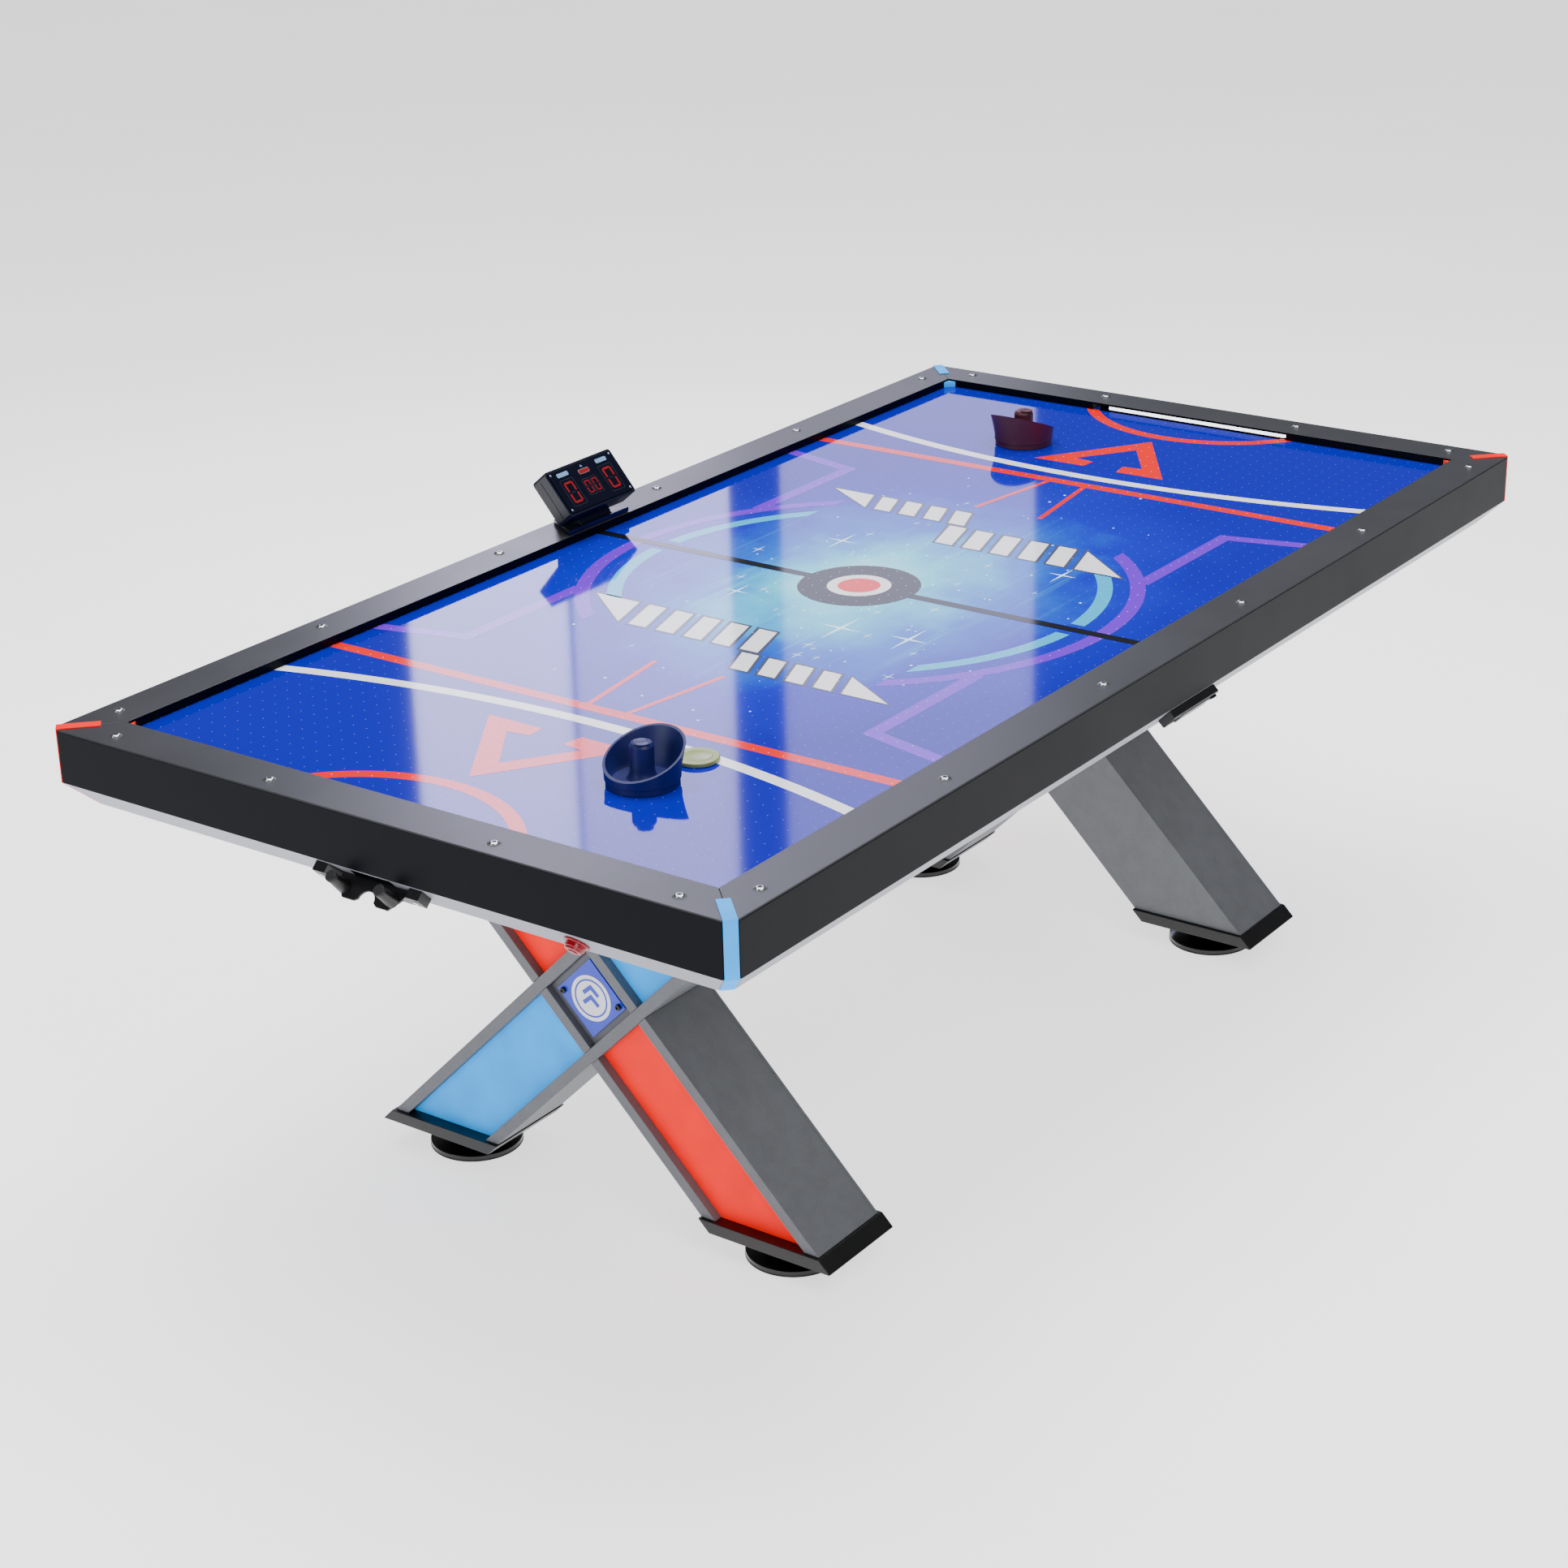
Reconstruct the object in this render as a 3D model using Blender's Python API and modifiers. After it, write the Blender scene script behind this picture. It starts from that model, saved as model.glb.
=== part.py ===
"""Air hockey table on two X-shaped legs.

Frame: origin on the floor under the middle of the table, +X along its length, +Y across it
towards the scoreboard, +Z up. The near end is at -X. Apart from the scoreboard, the start button
and the control box, the table looks the same after half a turn about Z.
"""

import math

import bmesh
import bpy
from mathutils import Matrix, Vector

# ---------------------------------------------------------------- driving dimensions (metres)
GAP = 0.0003                    # clearance between touching pieces

LENGTH = 2.2875                 # outer faces of the end rails
WIDTH = 1.194                   # outer faces of the long rails
HEIGHT = 0.805                  # top of the rails above the floor

RAIL_TOP_WIDTH = 0.0765
RAIL_FACE = 0.0795              # upright outer face
RAIL_CHAMFER_RUN = 0.0365       # underside chamfer, inwards
RAIL_CHAMFER_DROP = 0.0379      # underside chamfer, downwards
RAIL_WALL = 0.048               # thickness below the lip
RAIL_LIP = 0.0142               # thickness of the lip over the playfield
RAIL_EDGE = 0.002               # bevel along the top outer edge

PLAYFIELD_THICKNESS = 0.016
BOTTOM_BOARD_THICKNESS = 0.018
STRIP_WIDTH = 0.0188            # coloured band at each corner
STRIP_THICKNESS = 0.0012
STRIP_REACH = 0.072             # along the top mitre

GOAL_HALF_WIDTH = 0.200
GOAL_LID = 0.0045               # rail left above the goal slot
GOAL_BACK = 0.0375              # rail left outside the goal box
GOAL_BOX_LENGTH = 0.0742        # inwards
GOAL_BOX_WALL = 0.0025
GOAL_BOX_DEPTH = 0.066
GOAL_BOX_SIDE = 0.0335          # height of its shallow ends
OUTLET_HALF_WIDTH = 0.036
OUTLET_HEIGHT = 0.012

PUCK_RADIUS = 0.03175
PUCK_HEIGHT = 0.00635
PUCK_PLACE = (-0.7210, -0.2250)

MALLET_RADIUS = 0.0508
MALLET_WALL = 0.0035
MALLET_FLOOR = 0.009
MALLET_COVE = 0.006             # rounding between floor, wall and knob
MALLET_CROWN = 0.0075           # depth of the knob's domed top
# How far the wall leans out, and at which height, from above the rim down.
MALLET_FLARE = ((0.0145, 0.072), (0.0072, 0.048), (0.0037, 0.032), (0.0017, 0.020), (0.0015, 0.010))
MALLET_KNOB_RADIUS = 0.017
MALLET_KNOB_TOP = 0.0625
MALLET_RIM_HEIGHT = 0.0397      # rim height above the middle of the base
MALLET_RIM_SLOPE = 0.39         # the rim rises towards the middle of the table
MALLET_PLACES = {"near": (-0.8267, -0.2139), "far": (0.8125, 0.1952)}

TRAY_HALF_WIDTH = 0.0935
TRAY_LUG_WIDTH = 0.0215
TRAY_TOP = 0.004                # along the chamfer, from its upper edge
TRAY_FLOOR = 0.020
TRAY_PLATE = 0.004
TRAY_LUG_BOTTOM = 0.028
TRAY_DEPTH = 0.0143             # out from the chamfer
TONGUE_REACH = 0.034
TONGUE_NOTCH = 0.014            # radius of the finger notch
TONGUE_NOTCH_IN = 0.004         # of its centre, in from the tongue's end
TONGUE_SHOULDER = 0.006
PEG_SPACING = 0.0846
PEG_OUT = 0.020
PEG_TOP = -0.012
PEG_TOP_RADIUS = 0.008
PEG_FOOT_RADIUS = 0.010
PEG_ROOT = 0.001                # of a peg, sunk in the lugs' plate

BUTTON_Y = -0.338
BUTTON_RADIUS = 0.012
BUTTON_TRAVEL = 0.004
BUTTON_PROUD = 0.014            # cap above the chamfer
BUTTON_CROWN = 0.0012           # rise of the cap's middle
BUTTON_STOP_GAP = 0.0005        # left under the plunger when it is down
BEZEL_FLANGE_RADIUS = 0.018
BEZEL_FLANGE = 0.003
BEZEL_RADIUS = 0.014
BEZEL_HEIGHT = 0.0098
BEZEL_FLOOR = 0.0015

CONTROL_LENGTH = 0.135
CONTROL_TOP = 0.003
CONTROL_BOTTOM = 0.030
CONTROL_DEPTH = 0.014
CONTROL_EDGE = 0.0015
ROCKER_X = 0.054
ROCKER_WIDTH = 0.0144
ROCKER_LENGTH = 0.019
ROCKER_PIVOT = 0.001            # below the box's face
ROCKER_POCKET = 0.0065
ROCKER_HIGH_END = 0.0052        # heights above and below its pivot
ROCKER_LOW_END = 0.0015
ROCKER_MIDDLE = 0.0024
ROCKER_DEPTH = 0.0042
ROCKER_END_DEPTH = 0.0012
ROCKER_CLEARANCE = 0.0012
INLET_X = -0.054
INLET_WIDTH = 0.024
INLET_HEIGHT = 0.018
INLET_DEPTH = 0.0115
INLET_WALL = 0.002

SCORE_WIDTH = 0.1722
SCORE_HEIGHT = 0.0864           # along its tilted face
SCORE_THICKNESS = 0.034
SCORE_TILT = 49.6               # of the face from the horizontal
SCORE_FRONT_Y = 0.0857          # lower front edge, in from the rail's outer face
SCORE_FRONT_Z = 0.0363          # lower front edge, above the rail
SCORE_EDGE = 0.006
SCORE_FACE_INSET = 0.005
SCORE_FACE_THICKNESS = 0.003
SADDLE_FRONT = 0.073            # in from the rail's outer face
SADDLE_BACK = 0.009
SADDLE_HALF_FRONT = 0.079
SADDLE_HALF_BACK = 0.042
SADDLE_HEIGHT = 0.008
NECK_HALF_WIDTH = 0.040
NECK_FRONT = 0.004              # in from the saddle's front edge
NECK_BACK = 0.002               # in from the saddle's back edge
NECK_SHOULDER = 0.014           # above the face's lower edge
NECK_TOE = 0.010
NECK_HEAD_IN = 0.012            # the neck's head, inside the housing
NECK_HEAD_UP = 0.030

BLOWER_HALF_WIDTH = 0.140
BLOWER_HEIGHT = 0.110
BLOWER_WALL = 0.003
BLOWER_FLANGE = 0.012
BLOWER_FLANGE_THICKNESS = 0.004
BLOWER_INTAKES = 4
BLOWER_INTAKE_HALF = 0.020      # half the side of a square intake
BLOWER_INTAKE_CIRCLE = 0.075
DUCT_RADIUS = 0.090             # hole in the bottom board
STUB_RADIUS = 0.006
STUB_CLEARANCE = 0.0002
STUB_PAST = 0.004               # of the stub above the impeller
IMPELLER_RADIUS = 0.125
IMPELLER_HUB = 0.028
IMPELLER_HEIGHT = 0.068
IMPELLER_CLEARANCE = 0.006
IMPELLER_BLADES = 8
IMPELLER_BLADE = 0.003          # half thickness at the root
IMPELLER_SWEEP = 0.5            # how far a blade leans back, in radians

LEG_FACE = 0.4314               # leg's outer plane, in from the end rail's face
LEG_DEPTH = 0.152
LEG_CROSSING = 0.445            # below the rail top
BEAM_WIDTH = 0.148
BOARD = 0.018
BACK_PANEL = 0.006
COLOUR_PANEL = 0.004
COLOUR_PANEL_RECESS = 0.015
EMBLEM_HALF = 0.045
EMBLEM_RECESS = 0.008
EMBLEM_THICKNESS = 0.004
WEB = 0.006

FOOT_PLATE_TOP = 0.060          # above the floor
FOOT_PLATE = 0.0195
FOOT_PLATE_OVERHANG = 0.003
FOOT_PLATE_ENDS = 0.006
FOOT_RADIUS = 0.0727
FOOT_RIM = 0.010
FOOT_DOME = 0.004               # one step of the domed top
FOOT_COLLAR_DROP = 0.008        # bare stem under the foot plate
FOOT_STEM_RADIUS = 0.008
FOOT_STEM_CLEARANCE = 0.0005
FOOT_STEM_TOP = 0.078
FOOT_OFFSET = 0.0068            # of the stem, outwards from the beam's middle

# ---------------------------------------------------------------- derived sizes
HALF_LENGTH = LENGTH / 2
HALF_WIDTH = WIDTH / 2
RAIL_DEPTH = RAIL_FACE + RAIL_CHAMFER_DROP
PLAY_TOP = HEIGHT - RAIL_LIP - GAP
PLAY_BOTTOM = PLAY_TOP - PLAYFIELD_THICKNESS
CHAMFER = math.hypot(RAIL_CHAMFER_RUN, RAIL_CHAMFER_DROP)
ROUND = 48                      # sides of a round piece
SMALL_ROUND = 24
PAST = 0.01                     # how far a cutter runs past what it cuts
PAST_WALL = 0.004               # the same, where there is less room
EASE = 0.001                    # eased edge of a small moulded piece

HALF_TURN = Matrix.Rotation(math.pi, 4, "Z")
ENDS = {"near": Matrix.Identity(4), "far": HALF_TURN}

NAVY = "mallet_navy"
FINISHES = {
    "charcoal": ("#2A2B2E", 0.45, 0.0),
    "playfield": ("#0A14C8", 0.08, 0.0),
    "board": ("#8A7458", 0.7, 0.0),
    "strip_blue": ("#4FB4E6", 0.35, 0.0),
    "strip_red": ("#F2402A", 0.35, 0.0),
    "black_plastic": ("#121214", 0.4, 0.0),
    "button_red": ("#8C1C22", 0.2, 0.0),
    "score_shell": ("#0E1120", 0.3, 0.0),
    "score_window": ("#16090C", 0.1, 0.0),
    "steel_black": ("#1A1A1C", 0.4, 0.9),
    NAVY: ("#1E2A6E", 0.4, 0.0),
    "mallet_maroon": ("#5E2C45", 0.4, 0.0),
    "puck": ("#B2B98A", 0.4, 0.0),
    "leg_grey": ("#5A5C60", 0.6, 0.0),
    "panel_blue": ("#62C1EC", 0.3, 0.0),
    "panel_red": ("#FF4B2F", 0.3, 0.0),
    "emblem": ("#4A62C8", 0.3, 0.0),
    "foot_black": ("#0B0B0D", 0.45, 0.0),
}


# ---------------------------------------------------------------- scene and materials
def clear_scene():
    for thing in list(bpy.data.objects):
        bpy.data.objects.remove(thing)


def new_collection(name):
    collection = bpy.data.collections.new(name)
    bpy.context.scene.collection.children.link(collection)
    return collection


def linear(hex_colour):
    values = [int(hex_colour[i:i + 2], 16) / 255 for i in (1, 3, 5)]
    return [v / 12.92 if v <= 0.04045 else ((v + 0.055) / 1.055) ** 2.4 for v in values] + [1.0]


def make_materials():
    for name, (colour, roughness, metallic) in FINISHES.items():
        material = bpy.data.materials.new(name)
        material.use_nodes = True
        shader = material.node_tree.nodes["Principled BSDF"]
        shader.inputs["Base Color"].default_value = linear(colour)
        shader.inputs["Roughness"].default_value = roughness
        shader.inputs["Metallic"].default_value = metallic
        material.diffuse_color = linear(colour)


# ---------------------------------------------------------------- modelling helpers
def add_object(name, mesh, place, finish):
    """Puts a mesh in the scene: a part has a finish, and a hidden cutter or joined shape has none."""
    thing = bpy.data.objects.new(name, mesh)
    thing.matrix_world = place
    if finish:
        mesh.materials.append(bpy.data.materials[finish])
        PARTS.objects.link(thing)
    else:
        thing.hide_render = True
        thing.display_type = "WIRE"
        CUTTERS.objects.link(thing)
    return thing


def at(x=0.0, y=0.0, z=0.0):
    return Matrix.Translation((x, y, z))


def axes(first, second, third, origin=(0, 0, 0)):
    """The placing matrix whose local X, Y and Z lie along the three given directions."""
    matrix = Matrix((first, second, third)).transposed().to_4x4()
    matrix.translation = origin
    return matrix


X, Y, Z = Vector((1, 0, 0)), Vector((0, 1, 0)), Vector((0, 0, 1))


def slab(name, outline, depth, place, finish=None, holes=()):
    """A flat outline in local XY, with thickness from local Z = 0 to depth."""
    curve = bpy.data.curves.new(name, "CURVE")
    curve.dimensions = "2D"
    curve.fill_mode = "BOTH"
    curve.extrude = depth / 2
    for loop in (outline, *holes):
        spline = curve.splines.new("POLY")
        spline.points.add(len(loop) - 1)
        for point, (x, y) in zip(spline.points, loop):
            point.co = (x, y, 0, 1)
        spline.use_cyclic_u = True
    guide = bpy.data.objects.new(name + "_outline", curve)
    bpy.context.scene.collection.objects.link(guide)
    graph = bpy.context.evaluated_depsgraph_get()
    mesh = bpy.data.meshes.new_from_object(guide.evaluated_get(graph))
    bpy.data.objects.remove(guide)
    shape = bmesh.new()
    shape.from_mesh(mesh)
    bmesh.ops.translate(shape, verts=shape.verts, vec=(0, 0, depth / 2))
    bmesh.ops.remove_doubles(shape, verts=shape.verts, dist=1e-6)
    bmesh.ops.recalc_face_normals(shape, faces=shape.faces)
    shape.to_mesh(mesh)
    shape.free()
    mesh.name = name
    return add_object(name, mesh, place, finish)


def block(name, low, high, place, finish=None):
    """A box between two local corners."""
    low, high = Vector(low), Vector(high)
    shape = bmesh.new()
    bmesh.ops.create_cube(shape, size=1)
    bmesh.ops.scale(shape, verts=shape.verts, vec=high - low)
    bmesh.ops.translate(shape, verts=shape.verts, vec=(low + high) / 2)
    mesh = bpy.data.meshes.new(name)
    shape.to_mesh(mesh)
    shape.free()
    return add_object(name, mesh, place, finish)


def turned(name, profile, place, finish=None, sides=ROUND):
    """A profile of (radius, height) from the axis down the outer side and back, turned about local Z."""
    mesh = bpy.data.meshes.new(name)
    points = [(radius, 0, height) for radius, height in profile]
    mesh.from_pydata(points, [(i, i + 1) for i in range(len(points) - 1)], [])
    thing = add_object(name, mesh, place, finish)
    screw = thing.modifiers.new("Turn", "SCREW")
    screw.steps = screw.render_steps = sides
    screw.use_merge_vertices = True
    screw.merge_threshold = 0.00001
    return thing


def rod(name, radius, low, high, place, finish=None, sides=SMALL_ROUND):
    return turned(name, [(0, high), (radius, high), (radius, low), (0, low)], place, finish, sides)


def combine(part, other, operation):
    boolean = part.modifiers.new(other.name, "BOOLEAN")
    boolean.operation = operation
    boolean.object = other
    boolean.solver = "EXACT"


def cut(part, *cutters):
    for cutter in cutters:
        combine(part, cutter, "DIFFERENCE")


def join(part, *others):
    for other in others:
        combine(part, other, "UNION")


def trim(part, point, normal):
    """Cuts away the side of a plane that its normal points to, and closes the cut."""
    inverse = part.matrix_world.inverted()
    local_normal = inverse.to_3x3() @ Vector(normal)
    shape = bmesh.new()
    shape.from_mesh(part.data)
    bmesh.ops.dissolve_limit(shape, angle_limit=0.0001, verts=shape.verts, edges=shape.edges)
    everything = shape.verts[:] + shape.edges[:] + shape.faces[:]
    result = bmesh.ops.bisect_plane(
        shape,
        geom=everything,
        plane_co=inverse @ Vector(point),
        plane_no=local_normal,
        clear_outer=True,
    )
    rim = [item for item in result["geom_cut"] if isinstance(item, bmesh.types.BMEdge)]
    bmesh.ops.holes_fill(shape, edges=rim)
    bmesh.ops.recalc_face_normals(shape, faces=shape.faces)
    shape.to_mesh(part.data)
    shape.free()


def arc(centre, radius, start, end, steps):
    """Points round an arc, with its angles in degrees."""
    turn = [math.radians(start + (end - start) * i / steps) for i in range(steps + 1)]
    return [(centre[0] + radius * math.cos(a), centre[1] + radius * math.sin(a)) for a in turn]


def circle(radius, sides=SMALL_ROUND):
    return arc((0, 0), radius, 0, 360 * (sides - 1) / sides, sides - 1)


def rectangle(x0, x1, y0, y1):
    return [(x0, y0), (x1, y0), (x1, y1), (x0, y1)]


# ---------------------------------------------------------------- rails and corners
def chamfer_axes(turn, along=0.0):
    """Local X runs along the rail, Y down the chamfer from its upper edge and Z straight out of it."""
    down = Vector((RAIL_CHAMFER_RUN, 0, -RAIL_CHAMFER_DROP)) / CHAMFER
    out = Vector((-RAIL_CHAMFER_DROP, 0, -RAIL_CHAMFER_RUN)) / CHAMFER
    return turn @ axes(Y, down, out, (-HALF_LENGTH, along, HEIGHT - RAIL_FACE))


def rail_outline():
    """(distance in from the outer face, height) round the rail's section."""
    return [
        (0, -RAIL_FACE),
        (0, -RAIL_EDGE),
        (RAIL_EDGE, 0),
        (RAIL_TOP_WIDTH, 0),
        (RAIL_TOP_WIDTH, -RAIL_LIP),
        (RAIL_WALL, -RAIL_LIP),
        (RAIL_WALL, -RAIL_DEPTH),
        (RAIL_CHAMFER_RUN, -RAIL_DEPTH),
    ]


class Corner:
    """One corner of the table: its planes, as the rails and the coloured strip share them."""

    def __init__(self, side_x, side_y):
        self.point = Vector((side_x * HALF_LENGTH, side_y * HALF_WIDTH, HEIGHT))
        self.out = Vector((side_x, side_y, 0)).normalized()
        self.mitre = Vector((side_x, -side_y, 0)).normalized()
        hip_run = RAIL_CHAMFER_RUN * math.sqrt(2)
        hip = math.hypot(hip_run, RAIL_CHAMFER_DROP)
        self.hip_out = self.out * (RAIL_CHAMFER_DROP / hip) - Z * (hip_run / hip)
        fold = math.acos((RAIL_CHAMFER_RUN / CHAMFER) ** 2)
        self.hip_inset = STRIP_WIDTH / 2 / math.tan((math.pi - fold) / 2)
        self.edge_inset = STRIP_WIDTH / 2

    def trim_rail(self, rail, mitre):
        behind = STRIP_THICKNESS + GAP
        hip_start = self.point - Z * RAIL_FACE
        trim(rail, self.point - mitre * (GAP / 2), mitre)
        trim(rail, self.point - self.out * (self.edge_inset + behind), self.out)
        trim(rail, hip_start - self.hip_out * (self.hip_inset + behind), self.hip_out)

    def strip_path(self):
        """(distance in along the diagonal, height) down the strip's outer side."""
        proud = STRIP_THICKNESS + GAP
        across, down = self.hip_out.dot(self.out), -self.hip_out.z
        reach = down * RAIL_FACE - self.hip_inset
        hip_top = -(reach + across * self.edge_inset) / down
        hip_end = (down * RAIL_DEPTH - reach) / across
        return [
            (STRIP_REACH, proud),
            (self.edge_inset, proud),
            (self.edge_inset, hip_top),
            (hip_end, -RAIL_DEPTH),
        ]


def thickened(path, thickness):
    """Closes an open path into a band of even thickness on its left."""
    points = [Vector(point) for point in path]
    ways = [(b - a).normalized() for a, b in zip(points, points[1:])]
    sides = [Vector((-way.y, way.x)) for way in ways]
    inner = []
    for i, point in enumerate(points):
        before, after = sides[max(i - 1, 0)], sides[min(i, len(sides) - 1)]
        middle = (before + after).normalized()
        inner.append(point + middle * (thickness / middle.dot(after)))
    return [tuple(p) for p in points + inner[::-1]]


def make_rails():
    corners = {(i, j): Corner(i, j) for i in (-1, 1) for j in (-1, 1)}
    for name, turn, side in (("rail_front", Matrix.Identity(4), -1), ("rail_back", HALF_TURN, 1)):
        place = turn @ axes(Y, Z, X, (-HALF_LENGTH, -HALF_WIDTH, HEIGHT))
        rail = slab(name, rail_outline(), LENGTH, place, "charcoal")
        for end in (-1, 1):
            corner = corners[end, side]
            corner.trim_rail(rail, corner.mitre)
    for end, turn in ENDS.items():
        place = turn @ axes(X, Z, -Y, (-HALF_LENGTH, HALF_WIDTH, HEIGHT))
        rail = slab("rail_" + end, rail_outline(), WIDTH, place, "charcoal")
        for side in (-1, 1):
            corner = corners[-1 if end == "near" else 1, side]
            corner.trim_rail(rail, -corner.mitre)
        cut(rail, *goal_cutters(end, turn))
    for (i, j), corner in corners.items():
        colour = "blue" if i == j else "red"
        name = f"corner_strip_{'near' if i < 0 else 'far'}_{'front' if j < 0 else 'back'}"
        inward = -corner.out
        third = inward.cross(Z)
        place = axes(inward, Z, third, corner.point - third * (STRIP_WIDTH / 2))
        slab(name, thickened(corner.strip_path(), STRIP_THICKNESS), STRIP_WIDTH, place, "strip_" + colour)


# ---------------------------------------------------------------- goals
def goal_levels():
    """Heights of the goal box's rim and floor."""
    rim = PLAY_BOTTOM - 2 * GAP
    return rim, rim - GOAL_BOX_DEPTH


def goal_cutters(end, turn):
    rim, floor = goal_levels()
    half = GOAL_HALF_WIDTH
    face = -HALF_LENGTH
    pocket = block(
        f"goal_pocket_{end}",
        (face + GOAL_BACK, -half, floor - GAP),
        (face + RAIL_TOP_WIDTH + PAST, half, HEIGHT - GOAL_LID),
        turn,
    )
    outlet = block(
        f"goal_outlet_{end}",
        (face - PAST, -OUTLET_HALF_WIDTH, floor + GOAL_BOX_WALL),
        (face + GOAL_BACK + PAST, OUTLET_HALF_WIDTH, floor + GOAL_BOX_WALL + OUTLET_HEIGHT),
        turn,
    )
    return pocket, outlet


def funnel(half, flat, rim, side, floor):
    """Section of the goal box across the table: upright sides and a floor that falls to the middle."""
    return [(-half, rim), (-half, side), (-flat, floor), (flat, floor), (half, side), (half, rim)]


def make_goal_box(end, turn):
    rim, floor = goal_levels()
    half = GOAL_HALF_WIDTH - 2 * GAP
    wall = GOAL_BOX_WALL
    start = -HALF_LENGTH + GOAL_BACK + GAP
    side = rim - GOAL_BOX_SIDE
    outside = funnel(half, OUTLET_HALF_WIDTH + wall, rim, side, floor)
    inside = funnel(half - wall, OUTLET_HALF_WIDTH, rim + wall, side + wall, floor + wall)
    place = turn @ axes(Y, Z, X, (start, 0, 0))
    box = slab(f"goal_box_{end}", outside, GOAL_BOX_LENGTH, place, "black_plastic")
    hollow = slab(
        f"goal_hollow_{end}", inside, GOAL_BOX_LENGTH - 2 * wall, turn @ axes(Y, Z, X, (start + wall, 0, 0))
    )
    mouth = block(
        f"goal_mouth_{end}",
        (start - wall, -OUTLET_HALF_WIDTH, floor + wall),
        (start + 2 * wall, OUTLET_HALF_WIDTH, floor + wall + OUTLET_HEIGHT),
        turn,
    )
    cut(box, hollow, mouth)


# ---------------------------------------------------------------- boards
def make_playfield():
    length = HALF_LENGTH - RAIL_WALL - GAP
    width = HALF_WIDTH - RAIL_WALL - GAP
    notch = HALF_LENGTH - RAIL_TOP_WIDTH
    goal = GOAL_HALF_WIDTH + GAP
    notched = [(length, -goal), (notch, -goal), (notch, goal), (length, goal)]
    right = [(length, -width), *notched, (length, width)]
    left = [(-x, -y) for x, y in right]
    slab("playfield", right + left, PLAYFIELD_THICKNESS, at(z=PLAY_BOTTOM), "playfield")


def make_bottom_board():
    length = HALF_LENGTH - RAIL_WALL - GAP
    width = HALF_WIDTH - RAIL_WALL - GAP
    slab(
        "bottom_board",
        rectangle(-length, length, -width, width),
        BOTTOM_BOARD_THICKNESS,
        at(z=HEIGHT - RAIL_DEPTH),
        "board",
        holes=[circle(DUCT_RADIUS, ROUND)],
    )


# ---------------------------------------------------------------- puck trays
def make_tray(end, turn):
    """A trough below the goal outlet, with two tongues and two rubber-tipped pegs."""
    place = chamfer_axes(turn)
    inner = TRAY_HALF_WIDTH - TRAY_LUG_WIDTH
    flat = inner - (TRAY_FLOOR - TRAY_TOP)
    under = TRAY_FLOOR + TRAY_PLATE
    lug = [(TRAY_HALF_WIDTH, TRAY_LUG_BOTTOM), (TRAY_HALF_WIDTH, TRAY_TOP), (inner, TRAY_TOP)]
    half = [*lug, (flat, TRAY_FLOOR)]
    belly = [(-flat, under), (-inner, TRAY_LUG_BOTTOM)]
    outline = half + [(-x, y) for x, y in half[::-1]] + belly + [(-x, y) for x, y in belly[::-1]]
    tray = slab(f"puck_tray_{end}", outline, TRAY_DEPTH - GAP, place @ at(z=GAP), "black_plastic")
    shoulder = TONGUE_NOTCH + TONGUE_SHOULDER
    outer = TONGUE_REACH + TONGUE_SHOULDER
    right = [(shoulder, TONGUE_REACH), (outer, TONGUE_REACH), (flat, TRAY_DEPTH), (flat, TRAY_DEPTH / 2)]
    centre = (0, TONGUE_REACH - TONGUE_NOTCH_IN)
    notch = arc(centre, TONGUE_NOTCH, 180, 360, 12)
    tongue_outline = [(-x, y) for x, y in right[::-1]] + notch + right
    tongue_place = place @ axes(X, -Z, Y, (0, TRAY_FLOOR + GAP, 0))
    tongue_outline = [(x, -y) for x, y in tongue_outline]
    tongues = slab(f"tray_tongues_{end}", tongue_outline, TRAY_PLATE - 2 * GAP, tongue_place)
    join(tray, tongues)
    for i, side in enumerate((-1, 1)):
        profile = [
            (0, -PEG_TOP),
            (PEG_TOP_RADIUS - EASE, -PEG_TOP),
            (PEG_TOP_RADIUS, -PEG_TOP - EASE),
            (PEG_FOOT_RADIUS, -TRAY_FLOOR - PEG_ROOT),
            (0, -TRAY_FLOOR - PEG_ROOT),
        ]
        peg_place = place @ axes(X, Z, -Y, (side * PEG_SPACING / 2, 0, PEG_OUT))
        join(tray, turned(f"tray_peg_{end}_{i}", profile, peg_place, sides=SMALL_ROUND))


# ---------------------------------------------------------------- start button
def make_button():
    place = chamfer_axes(ENDS["near"], BUTTON_Y) @ at(y=CHAMFER / 2)
    bore = BUTTON_RADIUS + GAP
    base = GAP
    profile = [
        (0, base + BEZEL_FLOOR),
        (bore, base + BEZEL_FLOOR),
        (bore, BEZEL_HEIGHT),
        (BEZEL_RADIUS - EASE, BEZEL_HEIGHT),
        (BEZEL_RADIUS, BEZEL_HEIGHT - EASE),
        (BEZEL_RADIUS, base + BEZEL_FLANGE),
        (BEZEL_FLANGE_RADIUS - EASE, base + BEZEL_FLANGE),
        (BEZEL_FLANGE_RADIUS, base + BEZEL_FLANGE - EASE),
        (BEZEL_FLANGE_RADIUS, base),
        (0, base),
    ]
    turned("start_button_bezel", profile, place, "button_red")
    foot = base + BEZEL_FLOOR + BUTTON_TRAVEL + BUTTON_STOP_GAP
    plunger = [
        (0, BUTTON_PROUD),
        (BUTTON_RADIUS * 0.6, BUTTON_PROUD - BUTTON_CROWN / 3),
        (BUTTON_RADIUS - EASE, BUTTON_PROUD - BUTTON_CROWN),
        (BUTTON_RADIUS, BUTTON_PROUD - BUTTON_CROWN - EASE),
        (BUTTON_RADIUS, foot),
        (0, foot),
    ]
    turned("start_button", plunger, place, "button_red")


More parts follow.
